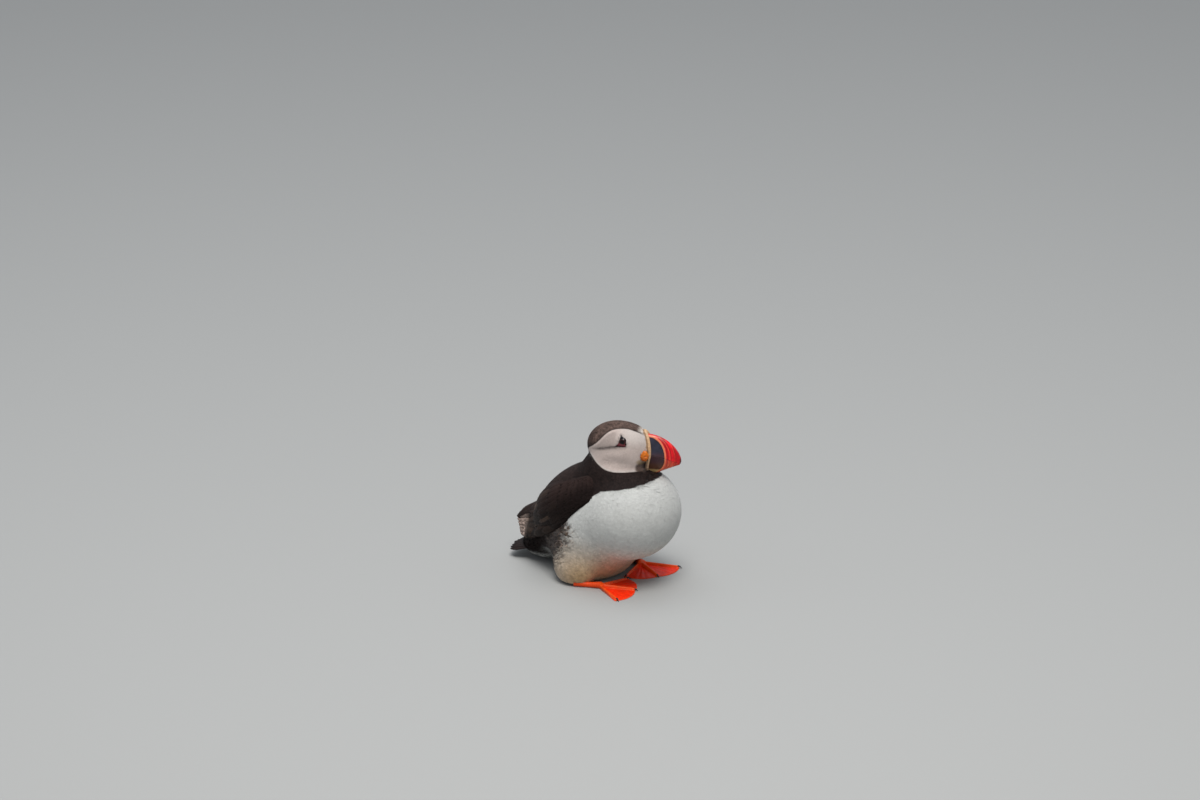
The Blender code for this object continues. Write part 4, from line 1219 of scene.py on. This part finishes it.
def join_vanes(name, parts, material):
    """One piece from long feathers, each as VANE_FACES has it."""
    points, colour, bake, vane = parts
    piece = sculpt(name, points, [repeat_faces(VANE_FACES, *points.shape[:2])], material)
    point_colour(piece, "plumage", np.clip(colour, 0, 1))
    point_map(piece, "OFBake", bake)
    point_map(piece, "vane", vane)


def make_wings(settings):
    """Both folded wings' feathers."""
    material = plumage_finish("wing_feather", 0.5, 0.0, 0.16, 40, 0.00005, specular=0.06)
    for side, word in SIDES:
        rng = np.random.default_rng(settings.seed + 20 + side)
        join_vanes("wing_feathers_" + word, wing_feathers(side, settings, rng), material)


def make_tail(settings):
    """Twelve tail feathers in a flat arched fan, the middle pair uppermost, and eight in a layer beneath."""
    rng = np.random.default_rng(settings.seed + 40)
    root, tip = np.array(TAIL_ROOT), np.array(TAIL_TIP)
    back, length = unit(tip - root), np.linalg.norm(tip - root)
    count = TAIL_UPPER + TAIL_UNDER
    fan = np.linspace(-1, 1, TAIL_UPPER)
    spread = np.concatenate([fan, np.linspace(-0.85, 0.85, TAIL_UNDER)])
    layer = np.concatenate([0.9 - 1.1 * np.abs(fan), np.full(TAIL_UNDER, -0.9)])
    under = layer < -0.8
    reach = length * (1 - 0.1 * spread**2) * np.where(under, 0.8, 1) * rng.uniform(0.96, 1.0, count)
    angle = np.radians(TAIL_HALF_ANGLE) * spread
    x = reach[:, None] * VANE_ALONG * np.cos(angle)[:, None]
    y = 8.0 * spread[:, None] + reach[:, None] * VANE_ALONG * np.sin(angle)[:, None]
    drop = TAIL_ARCH * spread[:, None] ** 2 * (0.4 + 0.6 * VANE_ALONG)
    rise = layer[:, None] * 0.6 * (1 - 0.5 * VANE_ALONG) - drop
    spines = root + x[..., None] * back + y[..., None] * np.array([0, 1.0, 0])
    spines = spines + rise[..., None] * np.array([0, 0, 1.0])
    normals = np.broadcast_to(np.array([0.2, 0, 1.0]), spines.shape)
    points, vane = vane_mesh(spines, normals, np.full(count, 5.4), thick=0.35)
    black = np.array(settings.black)
    colour = np.broadcast_to(black, (count, 3)) * rng.uniform(0.8, 1.3, (count, 1))
    colour = np.where(under[:, None], black * 1.5, colour)
    colour = np.broadcast_to(colour[:, None], points.shape)
    place = np.stack([spread * 0.45 + 0.5, 0.5 + layer * 0.2], -1)
    bake = place[:, None] + (vane - 0.5) * PATCH
    material = plumage_finish("tail_feather", 0.55, 0.0, 0.16, 40, 0.00005)
    join_vanes("tail_feathers", (points, colour, bake, vane), material)


# --- bill -----------------------------------------------------------------------------------------
def culmen(u):
    """Upper outline of the bill: an arc of an ellipse, a little flattened, drawn down to the tip."""
    angle = np.radians(CULMEN_START * (1 - u**2.5))
    x = CULMEN_CENTRE[0] + CULMEN_RADII[0] * np.sign(np.cos(angle)) * np.abs(np.cos(angle)) ** 1.06
    z = CULMEN_CENTRE[1] + CULMEN_RADII[1] * np.sin(angle) ** 1.04
    return x, z + (BILL_TIP[1] - CULMEN_CENTRE[1]) * u**6


def gape(u):
    """Line where the halves of the bill meet."""
    along = 1 - (1 - u) ** 1.65
    x = GAPE_START[0] + (BILL_TIP[0] - GAPE_START[0]) * along
    return x, GAPE_START[1] + (BILL_TIP[1] - GAPE_START[1]) * along**1.3


def lower_edge(u):
    """Lower outline: level under the chin, then rising to the tip."""
    reach = BILL_TIP[0] - 1.2 - CHIN[0]
    x = CHIN[0] + reach * (1 - (1 - u) ** 1.3)
    rise = np.maximum(0, x - CHIN[0] - CHIN_LENGTH) / (reach - CHIN_LENGTH)
    return x, CHIN[1] + (BILL_TIP[1] - 1.0 - CHIN[1]) * rise


def plate_distance(x, z):
    """Distance of a point of the bill from the middle of its plates' arcs: ellipses, flatter below."""
    tall = np.where(z > PLATE_CENTRE[1], PLATE_HIGH, PLATE_LOW) / PLATE_RADIUS
    return np.hypot(x - PLATE_CENTRE[0], (z - PLATE_CENTRE[1]) / tall)


def groove_place(away, share, radius):
    """Distance of a point in front of a groove, which leans back towards the bill's outer edge."""
    return away - radius + 2.2 * share**2


def bill_relief(x, z, share):
    """Height of the horn, mm: a raised line round the base plate, grooves in front of it, growth lines."""
    away = plate_distance(x, z)
    rim = 0.4 * np.exp(-(((away - PLATE_RADIUS - 0.8) / 0.9) ** 2))
    places = [groove_place(away, share, radius) for radius in GROOVE_RADII]
    cuts = sum(np.exp(-((place / 0.5) ** 2)) for place in places)
    banks = sum(np.exp(-(((place + 1.1) / 0.7) ** 2)) for place in places)
    step = 0.18 * smooth(PLATE_RADIUS + 0.6, PLATE_RADIUS + 2.2, away)
    growth = 0.05 * np.sin(away * 5.5) * smooth(PLATE_RADIUS + 2, PLATE_RADIUS + 4, away)
    return rim + step - 0.45 * cuts + 0.2 * banks + growth


def bill_half(edge, rows=150, columns=56):
    """Grid of one half of the bill, in the head's frame, and each point's share of the way out from the gape.

    Sections run from the gape over one side to the outer edge and back down the other. They bulge forwards,
    are as wide as the bill at the gape, and thin to a rounded keel."""
    u = np.linspace(0.0, 0.985, rows)[:, None]
    t = np.sin(np.linspace(0, math.pi / 2, columns))[None, :] ** 0.9
    gape_x, gape_z = gape(u)
    edge_x, edge_z = edge(u)
    away = np.sign(edge_z - gape_z)
    gape_z = gape_z + away * 0.12
    x = gape_x + (edge_x - gape_x) * t + 2.6 * 4 * t * (1 - t) * np.sin(math.pi * u) ** 0.7
    z = gape_z + (edge_z - gape_z) * t
    wide = 0.5 + BILL_HALF_WIDTH * (1 - u) ** 0.75
    keel = np.minimum(wide * 0.9, 0.45 + CULMEN_HALF_WIDTH * (1 - u) ** 0.45)
    width = (wide + (keel - wide) * t**0.8) * np.sqrt(np.clip(1 - t**7, 0.0, 1)) + 0.12
    away = plate_distance(x, z)
    fade = smooth(0.0, 0.12, t) * smooth(1.0, 0.9, t) * smooth(0, 0.1, 1 - u)
    width = width + bill_relief(x, z, t) * (0.25 + 0.75 * fade) * np.minimum(1, width / 3)
    right = np.stack([x, -width, z], -1)
    left = np.stack([x, width, z], -1)[:, ::-1]
    share = t + 0 * u
    return np.concatenate([right, left], axis=1), np.concatenate([share, share[:, ::-1]], axis=1)


def bill_colour(points, share, settings, upper):
    """Slate base plate inside a peach line; red in front of it, orange below, with lines at the grooves; the
    dark red bands beside the grooves and in front of the plate are painted shade.
    """
    x, z = points[..., 0], points[..., 2]
    away = plate_distance(x, z) + 0.15 * ripple(points, 6, 9)
    red = np.array(settings.red) * (1 + 0.15 * ripple(points * [1, 0.2, 1], 5, 4))[..., None]
    orange, cream, slate = (np.array(c) for c in (settings.orange, settings.cream, settings.slate))
    peach = mix(orange, cream, 0.35)
    low = smooth(-4, -12, z) * (0.45 if upper else 1.0)
    front = mix(red, orange, np.clip(low, 0, 1) * 0.6)
    # A dark red band in front of the base plate: painted shade
    front = mix(front, DARK_RED, 0.75 * np.exp(-(((away - PLATE_RADIUS - 3.0) / 0.95) ** 2)))
    for radius in GROOVE_RADII:
        place = groove_place(away, share, radius)
        # Dark red just beyond each groove: painted shade
        front = mix(front, DARK_RED, 0.7 * np.exp(-(((place - 1.0) / 0.6) ** 2)))
        front = mix(front, peach, 0.4 * np.exp(-((place / 0.32) ** 2)))
    if not upper:
        lines = 0.5 + 0.5 * np.sin(away * 3.6 + 0.5 * z)
        marks = mix(peach, DARK_RED, (lines < 0.35) * 0.6)
        front = mix(front, marks, 0.45 * lines * smooth(16.5, 19, away))
    front = mix(front, red * 0.5, smooth(45, 54, x) * 0.75)
    front = mix(front, TIP_DARK, smooth(54.8, 55.8, x) * 0.85)
    base = slate * (1 + 0.22 * ripple(points, 7, 2))[..., None]
    base = mix(base, BASE_PURPLE, smooth(2, -4, z) * 0.8)
    base = mix(base, BASE_BROWN, smooth(-7, -13, z) * 0.9)
    base = mix(base, LOWER_CREAM, smooth(-14.8, -17.0, z) * 0.85)
    line = smooth(0.1, 0.5, away - PLATE_RADIUS) * smooth(1.95, 1.5, away - PLATE_RADIUS)
    colour = mix(base, front, smooth(PLATE_RADIUS + 0.5, PLATE_RADIUS + 1.2, away))
    return mix(colour, mix(peach, orange, 0.3 * smooth(4, -8, z)), line * 0.92)


def horn_finish(name, source, roughness, coat, grain=900):
    """Horn: the colour held by its points, fine growth grain, small scratches and a thin gloss."""
    made = Finish(name, Roughness=roughness, Coat_Weight=coat, Coat_Roughness=0.25, Specular_IOR_Level=0.3)
    tone = made.span(made.noise(grain, 4, 0.6), 0.3, 0.7, 0.88, 1.08)
    made.feed("Base Color", made.shade(made.attribute(source).outputs["Color"], tone))
    wear = made.noise(grain * 0.4, 3, 0.5)
    made.feed("Roughness", made.span(wear, 0.3, 0.7, roughness - 0.07, roughness + 0.12))
    made.bump(made.noise(grain * 1.6, 3, 0.6), 0.00008, 0.35)
    return made.material


def ridge_rings():
    """Rings of the fleshy ridge, from rear to front: swollen ovals with a furrow and a row of pits."""
    around = np.linspace(0, 2 * math.pi, RIDGE_COLUMNS, endpoint=False)
    spread = np.abs(np.cos(around)) ** 0.9 * np.sign(np.cos(around))
    pits = 0.10 * np.sin(around * 34) + 0.08 * np.sin(around * 13 + 1)
    rings = []
    for angle in np.linspace(0, math.pi, RIDGE_ROWS):
        rise = math.sin(angle) ** 0.6
        furrow = 0.45 * math.exp(-(((angle - 1.25) / 0.22) ** 2))
        fall = 1.5 * (1 - rise) + furrow - pits * rise
        z = -0.5 + np.sin(around) * (RIDGE_HALF_DEPTH + 0.3 - fall)
        y = spread * (BILL_HALF_WIDTH + 1.5 - fall - 2.2 * smooth(4, 20, z))
        reach = RIDGE_WIDTH / 2 * math.cos(angle) * (1 - 0.3 * smooth(-2, -12, z))
        rings.append(np.stack([ridge_line(z) - reach - 0.5 * smooth(0, -12, z), y, z], -1))
    return np.array(rings)


def make_bill(settings):
    """Upper and lower horn, and the fleshy ridge at the root with a row of pits."""
    horn = horn_finish("bill_horn", "horn", 0.36, 0.15)
    for name, edge, upper in (("bill_upper", culmen, True), ("bill_lower", lower_edge, False)):
        rings, share = bill_half(edge)
        colour = bill_colour(rings, share, settings, upper)
        closed_piece(name + "_horn", rings, colour, "horn", horn, name, from_head)
    points, faces = closed_rings(ridge_rings())
    fleshy = horn_finish("bill_ridge_skin", "horn", 0.5, 0.15, 1300)
    made = sculpt("bill_ridge_skin", from_head(points), faces, fleshy, ("bill_ridge",))
    ahead = np.concatenate([np.repeat(np.linspace(0, 1, RIDGE_ROWS), RIDGE_COLUMNS), [0, 1]])
    shade = 1 - 0.3 * smooth(0.62, 0.4, ahead) - 0.3 * np.exp(-(((ahead - 0.4) / 0.07) ** 2))
    shade = shade * (1 - 0.12 * smooth(0.3, 1, np.sin(points[:, 2] * 5.5) * 0.5 + 0.5))
    cream = np.array(settings.cream) * shade[:, None]
    point_colour(made, "horn", mix(cream, RIDGE_SHADE, 0.4 * smooth(-6, -14, points[:, 2])))
    faces_out(made)


# --- face -----------------------------------------------------------------------------------------
def ball(rows=40, columns=64):
    """Unit directions over a ball, from pole to pole about Y, and the angle from the +Y pole of each ring."""
    angle = np.linspace(0.02, math.pi - 0.02, rows)[:, None]
    around = np.linspace(0, 2 * math.pi, columns, endpoint=False)[None, :]
    y = np.cos(angle) + 0 * around
    return np.stack([np.sin(angle) * np.cos(around), y, np.sin(angle) * np.sin(around)], -1), angle, around


def eye_ring(out, settings):
    """Points, faces and colours of the bare ring, out from the eye's middle: a waved tube, redder below and
    nearly black at the top, where the dark is painted shadow under the upper plate.
    """
    around = np.linspace(0, 2 * math.pi, EYE_RING_COUNT, endpoint=False)[:, None]
    tube = np.linspace(0, 2 * math.pi, EYE_RING_TUBE, endpoint=False)[None, :]
    body = 0.4 + 0.02 * np.sin(around * 14 + 1)
    radius = EYE_RING_RADIUS + 0.03 * np.sin(around * 14) + body * np.cos(tube)
    ring = np.stack([
        radius * np.cos(around), out + body * 0.8 * np.sin(tube), radius * np.sin(around) * 0.95,
    ], -1)
    first = np.arange(EYE_RING_TUBE)
    last = first + (EYE_RING_COUNT - 1) * EYE_RING_TUBE
    back = np.stack([last, np.roll(last, -1), np.roll(first, -1), first], -1)
    faces = [grid_faces(EYE_RING_COUNT, EYE_RING_TUBE, closed=True), back]
    # Nearly black at the top: painted shadow under the upper plate
    return ring, faces, mix(np.array(settings.ring) * 0.12, settings.ring, smooth(1.5, -2.5, ring[..., 2]))


def make_eyes(settings):
    """Dark glossy eyes with a brown iris, each in a bare ring, a pointed plate above and a bar below."""
    gloss = Finish("eye_gloss", Roughness=0.1, Coat_Weight=0.1, Coat_Roughness=0.03, Specular_IOR_Level=0.2)
    gloss.feed("Base Color", gloss.attribute("horn").outputs["Color"])
    ring_skin = horn_finish("eye_ring_skin", "horn", 0.42, 0.3, 1500)
    plate_horn = horn_finish("eye_plate_horn", "horn", 0.45, 0.2, 1200)
    directions, angle, _ = ball()
    lens = 1 + 0.05 * np.exp(-((angle / 0.55) ** 2))[..., None] + 0 * directions
    iris = mix(PUPIL, settings.iris, smooth(0.36, 0.42, angle))
    iris = mix(iris, np.array(settings.iris) * 0.35, smooth(0.62, 0.72, angle))
    ring, ring_faces, ring_colour = eye_ring(np.sqrt(EYE_RADIUS**2 - EYE_RING_RADIUS**2) + 0.2, settings)
    tones = {"upper": np.array(settings.slate) * 0.4, "lower": mix(settings.slate, settings.ring, 0.75)}
    for side, word in SIDES:
        centre = (np.array(EYE_PLACE) + np.array(EYE_SET)) * mirror(side)
        ball_points = centre + directions * EYE_RADIUS * lens * mirror(side)
        name, node = "eyeball_" + word, "eye_" + word
        closed_piece(name, ball_points, iris, "horn", gloss.material, node, from_head)
        points = from_head((centre + ring * mirror(side)).reshape(-1, 3))
        made = sculpt("eye_ring_" + word, points, ring_faces, ring_skin)
        point_colour(made, "horn", ring_colour)
        faces_out(made)
        for label, shape in EYE_PLATES.items():
            points = plate_points(side, *shape)
            name, node = f"eye_horn_{label}_{word}", f"eye_plate_{label}_{word}"
            closed_piece(name, points, tones[label], "horn", plate_horn, node, from_head)


def plate_points(side, centre, radii, lean, point_up, corner):
    """Rings of a horny plate: a flattened ball whose outline has three soft corners, one at point_up."""
    directions, _, around = ball(18, 40)
    radius = 1 + corner * np.cos(3 * (around - point_up))
    shape = directions * np.array(radii) * np.stack([radius, np.ones_like(radius), radius], -1)
    tilt = np.array(Matrix.Rotation(math.radians(lean), 3, "X"))
    return (shape @ tilt.T + np.array(centre)) * mirror(side)


def make_rosettes(settings):
    """Fleshy rosettes at the corners of the gape: folds that radiate from the gape line round a cushion."""
    skin = horn_finish("gape_skin", "horn", 0.45, 0.25, 1100)
    directions, angle, around = ball(44, 88)
    x, y, z = axes(directions)
    fold = 0.045 * np.sin(around * 7 + 2.2 * np.sin(around * 2 + 1) + np.sin(angle * 3))
    fold = fold * smooth(0.15, 0.8, angle) + 0.045 * ripple(directions * 10, 5, 31)
    slit = 0.22 * np.exp(-((z / 0.10) ** 2)) * smooth(-0.2, 0.6, x) * smooth(0.2, 0.5, y)
    left = directions * (1 + fold - slit)[..., None] * np.array(ROSETTE_SIZE) + np.array(ROSETTE_PLACE)
    tone = mix(settings.gape, FOLD_ORANGE, np.clip(4 * slit - 5 * fold, 0, 0.7))
    tone = mix(tone, UNDER_ORANGE, 0.6 * smooth(0.2, -0.9, z))
    for side, word in SIDES:
        name, node = "gape_rosette_" + word, "rosette_" + word
        closed_piece(name, left * mirror(side), tone, "horn", skin, node, from_head)


# --- feet -----------------------------------------------------------------------------------------
def foot_frame(side):
    """Place of a foot's toe joint, and the unit directions ahead of it and to its outer side."""
    joint = np.array([*TOE_JOINTS[dict(SIDES)[side]], 0.0])
    heading = math.radians(-TOE_IN * side)
    ahead = np.array([math.cos(heading), math.sin(heading), 0.0])
    outer = np.array([-math.sin(heading), math.cos(heading), 0.0]) * side
    return joint, ahead, outer


def foot_grid(side, rows=110, columns=170):
    """Top of a webbed foot over a fan of rays: ridged toes with scutes and joints, creased webs between.

    Returns the flat points, the height, how much each point belongs to a toe, and its share of its ray's
    reach."""
    joint, ahead, outer = foot_frame(side)
    angles = np.array([toe[1] for toe in TOES], float)
    sweep = np.linspace(angles[0] + 3.5, angles[-1] - 3.5, columns)
    gaps = np.interp(-sweep, -angles, np.arange(3.0))
    between = np.abs(np.sin(math.pi * gaps))
    reach = np.interp(-sweep, -angles, [toe[2] for toe in TOES]) * (1 + 0.05 * between**0.8)
    share = np.linspace(0.03, 1.0, rows)[:, None]
    radius = share * reach[None, :]
    turned = np.radians(sweep)[:, None]
    direction = ahead * np.cos(turned) - outer * np.sin(turned)
    flat = joint + radius[..., None] * direction[None]
    web = WEB_THICKNESS * (0.75 + 0.25 * smooth(1.0, 0.9, share))
    folds = 0.16 * np.sin(sweep * 0.62 + 1.1 * np.sin(share * 5))
    fine = 0.05 * np.sin(radius * 3.1 + 2 * np.sin(sweep * 0.35))
    high = web + (folds * between + fine) * smooth(0.05, 0.35, share)
    high = high + 0.25 * smooth(0.93, 1.0, share) * between
    toe_share = np.zeros(radius.shape)
    for _, angle, length, height in TOES:
        off = radius * np.sin(np.radians(sweep - angle))[None, :]
        slim = height * (1.15 - 0.4 * radius / length)
        knob = 1 + 0.10 * np.cos(radius / length * 2 * math.pi * 3.2)
        scute = 1 + 0.05 * np.abs(np.sin(radius * 2.6))
        ridge = 2 * slim * np.sqrt(np.clip(1 - (off / (slim * knob)) ** 2, 0, 1)) * scute
        toe_share = np.maximum(toe_share, np.exp(-((off / (slim * 1.15)) ** 4)))
        high = np.maximum(high, ridge)
    knuckle = KNUCKLE_RADIUS * 1.7 * np.sqrt(np.clip(1 - (radius / (2 * KNUCKLE_RADIUS)) ** 2, 0, 1))
    high = np.maximum(high, knuckle * (1 + 0.03 * np.sin(radius * 4)))
    high = high * np.sqrt(np.clip(1 - smooth(0.985, 1.0, share) * 0.75, 0, 1))
    return flat, high, np.maximum(toe_share, smooth(6, 3, radius)), share


def make_feet(settings, horn):
    """Webbed feet with flat soles, scaly shanks and black claws."""
    skin = foot_finish()
    claw = horn_finish("claw_horn", "horn", 0.35, 0.3, 900)
    for side, word in SIDES:
        flat, high, toe, share = foot_grid(side)
        rows, columns = high.shape
        top = flat + high[..., None] * np.array([0, 0, 1.0])
        spot = np.arange(rows * columns).reshape(rows, columns)
        edge = np.concatenate([spot[0], spot[1:, -1], spot[-1, -2::-1], spot[-2:0:-1, 0]])
        sole = rows * columns + np.arange(len(edge))
        rim = flat.reshape(-1, 3)[edge]
        points = np.concatenate([top.reshape(-1, 3), rim, rim.mean(0)[None]])
        wall = np.stack([sole, np.roll(sole, -1), np.roll(edge, -1), edge], -1)
        base = np.stack([np.full(len(edge), len(points) - 1), np.roll(sole, -1), sole], -1)
        faces = [grid_faces(rows, columns), wall, base]
        made = sculpt("web_" + word, points, faces, skin, ("foot_" + word,))
        tone = mix(settings.web, settings.toe, np.clip(toe * 0.85 + 0.35 * smooth(0.95, 1.0, share), 0, 1))
        tone = tone * (1 + 0.08 * ripple(top, 7, 6))[..., None]
        tone = tone.reshape(-1, 3)
        # The sole's rim and middle are darker than the top: painted shade under the foot
        under = np.array(settings.web) * 0.7
        point_colour(made, "skin", np.concatenate([tone, tone[edge] * 0.8, under[None]]))
        faces_out(made)
        make_shank(side, word, settings, skin)
        for toe_name, angle, length, _ in TOES:
            make_claw(side, f"{word}_{toe_name}", angle, length, claw, horn)


def foot_finish():
    """Bare foot skin: small cells of scale, fine creases and a moist gloss."""
    made = Finish("foot_skin", Roughness=0.45, Coat_Weight=0.08, Coat_Roughness=0.3, Specular_IOR_Level=0.25)
    cells = made.cells(1500)
    creases = made.noise(700, 4, 0.65)
    scales = made.span(cells, 0.0, 0.8, 1.06, 0.86)
    tone = made.math("MULTIPLY", scales, made.span(creases, 0.3, 0.7, 0.86, 1.1))
    made.feed("Base Color", made.shade(made.attribute("skin").outputs["Color"], tone))
    made.feed("Roughness", made.span(creases, 0.3, 0.7, 0.34, 0.52))
    made.bump(made.math("ADD", made.math("MULTIPLY", cells, -0.7), creases), 0.00018, 0.5)
    return made.material


def tube_rings(path, radii, columns, ripple_height=0.0, waves=0):
    """Rings round a path of points: circles of the given radii, times ripples along it, a sine's size."""
    path = np.asarray(path, float)
    way = unit(np.gradient(path, axis=0))
    side = unit(np.cross(way, np.array([0, 0, 1.0])))
    up = np.cross(side, way)
    around = np.linspace(0, 2 * math.pi, columns, endpoint=False)
    step = np.linspace(0, 1, len(path))
    body = np.asarray(radii) * (1 + ripple_height * np.abs(np.sin(step * waves * math.pi)))
    spoke = side[:, None] * np.cos(around)[None, :, None] + up[:, None] * np.sin(around)[None, :, None]
    return path[:, None] + spoke * body[:, None, None]


def make_shank(side, word, settings, skin):
    """A shank that lies on the ground, ringed with scutes."""
    joint, ahead, _ = foot_frame(side)
    step = np.linspace(0, 1, SHANK_ROWS)
    radii = curve_at(np.array(SHANK_RADII)[:, None], step)[:, 0]
    path = joint - ahead * ((SHANK + 2) * (1 - step[:, None]) - 2) + radii[:, None] * np.array([0, 0, 1.0])
    rings = tube_rings(path, radii, SHANK_COLUMNS, 0.025, 13)
    rings[..., 2] = np.maximum(rings[..., 2], 0.12)
    bands = 0.4 + 0.12 * np.sin(step * 26 * math.pi)
    tone = mix(settings.toe, np.array(settings.web) * 0.8, bands)[:, None]
    closed_piece("shank_" + word, rings, tone, "skin", skin, "leg_" + word)


def make_claw(side, label, angle, length, material, settings):
    """A tapered claw that curves down from the end of a toe."""
    joint, ahead, outer = foot_frame(side)
    way = ahead * math.cos(math.radians(angle)) - outer * math.sin(math.radians(angle))
    tip = joint + way * (length - 1.6)
    step = np.linspace(0, 1, 24)
    rise = CLAW_RADIUS + 0.2 + 0.9 * np.sin(math.pi * np.minimum(1, step * 1.1)) - 1.0 * step**2
    path = tip + way * CLAW_LENGTH * 0.78 * step[:, None] + rise[:, None] * np.array([0, 0, 1.0])
    rings = tube_rings(path, CLAW_RADIUS * 0.9 * (1 - 0.85 * step**1.2), 20)
    rings[..., 2] = np.maximum(rings[..., 2], 0.1)
    closed_piece("claw_horn_" + label, rings, settings.claw, "horn", material, "claw_" + label)


# --- stage ----------------------------------------------------------------------------------------
def make_lights():
    """The sky's even light and three soft lamps that look at the bird."""
    world = bpy.data.worlds.new("studio")
    world.use_nodes = True
    sky = world.node_tree.nodes["Background"]
    sky.inputs[0].default_value, sky.inputs[1].default_value = SKY_COLOUR, SKY_POWER
    bpy.context.scene.world = world
    for name, place, size, power, colour in LIGHTS:
        data = bpy.data.lights.new(name, "AREA")
        data.size, data.energy, data.color = size, power, colour
        lamp = add_object(name, data)
        lamp.location = place
        lamp.rotation_euler = (Vector(LIGHT_AIM) - Vector(place)).to_track_quat("-Z", "Y").to_euler()


def make_camera(settings):
    """The camera at its distance from the bird, aimed to the left of the bird's origin and above it."""
    a, e = settings.azimuth, settings.elevation
    back = Vector((math.sin(a) * math.cos(e), -math.cos(a) * math.cos(e), math.sin(e)))
    right = Vector((math.cos(a), math.sin(a), 0))
    aim = Vector(SHIFT) * MM + (right * AIM_ASIDE + back.cross(right) * AIM_ABOVE) * settings.width
    data = bpy.data.cameras.new("camera")
    data.sensor_width = SENSOR_WIDTH
    data.lens = SENSOR_WIDTH * settings.distance / settings.width
    camera = add_object("camera", data)
    camera.location = aim + back * settings.distance
    camera.rotation_euler = back.to_track_quat("Z", "Y").to_euler()
    bpy.context.scene.camera = camera


def make_stage(settings):
    """Pale floor, soft studio light and the camera."""
    finish = Finish("studio_floor", Roughness=0.7)
    finish.shader.inputs["Base Color"].default_value = (*settings.floor, 1)
    mesh = bpy.data.meshes.new("floor")
    corners = [(x * FLOOR_REACH, y * FLOOR_REACH, 0) for x, y in ((-1, -1), (1, -1), (1, 1), (-1, 1))]
    mesh.from_pydata(corners, [], [(0, 1, 2, 3)])
    floor = add_object("floor", mesh)
    mesh.materials.append(finish.material)
    bpy.context.scene.view_settings.view_transform = "Standard"
    make_lights()
    make_camera(settings)


# --- operators ------------------------------------------------------------------------------------
class PUFFIN_OT_skin(bpy.types.Operator):
    """One skin for trunk, neck, head, wings and tail"""

    bl_idname, bl_label = "puffin.skin", "Skin"

    def execute(self, context):
        make_skin(context.scene.puffin_plumage)
        return {"FINISHED"}


class PUFFIN_OT_coat(bpy.types.Operator):
    """Small feathers over head and body"""

    bl_idname, bl_label = "puffin.coat", "Coat"

    def execute(self, context):
        make_coat(context.scene.puffin_plumage)
        return {"FINISHED"}


class PUFFIN_OT_wings(bpy.types.Operator):
    """Coverts and flight feathers of both folded wings"""

    bl_idname, bl_label = "puffin.wings", "Wings"

    def execute(self, context):
        make_wings(context.scene.puffin_plumage)
        return {"FINISHED"}


class PUFFIN_OT_tail(bpy.types.Operator):
    """Tail feathers"""

    bl_idname, bl_label = "puffin.tail", "Tail"

    def execute(self, context):
        make_tail(context.scene.puffin_plumage)
        return {"FINISHED"}


class PUFFIN_OT_bill(bpy.types.Operator):
    """Both halves of the bill and the ridge at its root"""

    bl_idname, bl_label = "puffin.bill", "Bill"

    def execute(self, context):
        make_bill(context.scene.puffin_horn)
        return {"FINISHED"}


class PUFFIN_OT_face(bpy.types.Operator):
    """Eyes with their rings and plates, and the rosettes at the gape"""

    bl_idname, bl_label = "puffin.face", "Face"

    def execute(self, context):
        make_eyes(context.scene.puffin_horn)
        make_rosettes(context.scene.puffin_skin)
        return {"FINISHED"}


class PUFFIN_OT_feet(bpy.types.Operator):
    """Webbed feet, shanks and claws"""

    bl_idname, bl_label = "puffin.feet", "Feet"

    def execute(self, context):
        make_feet(context.scene.puffin_skin, context.scene.puffin_horn)
        return {"FINISHED"}


class PUFFIN_OT_stage(bpy.types.Operator):
    """Floor, light and camera"""

    bl_idname, bl_label = "puffin.stage", "Stage"

    def execute(self, context):
        make_stage(context.scene.puffin_stage)
        return {"FINISHED"}


class PUFFIN_PT_panel(bpy.types.Panel):
    """Lists the puffin's pieces"""

    bl_label, bl_idname = "Puffin", "PUFFIN_PT_panel"
    bl_space_type, bl_region_type, bl_category = "VIEW_3D", "UI", "Puffin"

    def draw(self, context):
        for operator in OPERATORS:
            self.layout.operator(operator.bl_idname)
        for group in SETTINGS:
            box = self.layout.box()
            settings = getattr(context.scene, group)
            for key in settings.__annotations__:
                box.prop(settings, key)


SETTINGS = {
    "puffin_plumage": PlumageSettings,
    "puffin_horn": HornSettings,
    "puffin_skin": SkinSettings,
    "puffin_stage": StageSettings,
}
OPERATORS = (
    PUFFIN_OT_skin, PUFFIN_OT_coat, PUFFIN_OT_wings, PUFFIN_OT_tail, PUFFIN_OT_bill, PUFFIN_OT_face,
    PUFFIN_OT_feet, PUFFIN_OT_stage,
)


def register():
    for kind in (*SETTINGS.values(), *OPERATORS, PUFFIN_PT_panel):
        bpy.utils.register_class(kind)
    for name, kind in SETTINGS.items():
        setattr(bpy.types.Scene, name, PointerProperty(type=kind))


def unregister():
    for name in SETTINGS:
        delattr(bpy.types.Scene, name)
    for kind in reversed((*SETTINGS.values(), *OPERATORS, PUFFIN_PT_panel)):
        bpy.utils.unregister_class(kind)


def main():
    """Builds every piece in order."""
    register()
    bpy.ops.puffin.skin()
    bpy.ops.puffin.coat()
    bpy.ops.puffin.wings()
    bpy.ops.puffin.tail()
    bpy.ops.puffin.bill()
    bpy.ops.puffin.face()
    bpy.ops.puffin.feet()
    bpy.ops.puffin.stage()


if __name__ == "__main__":
    main()
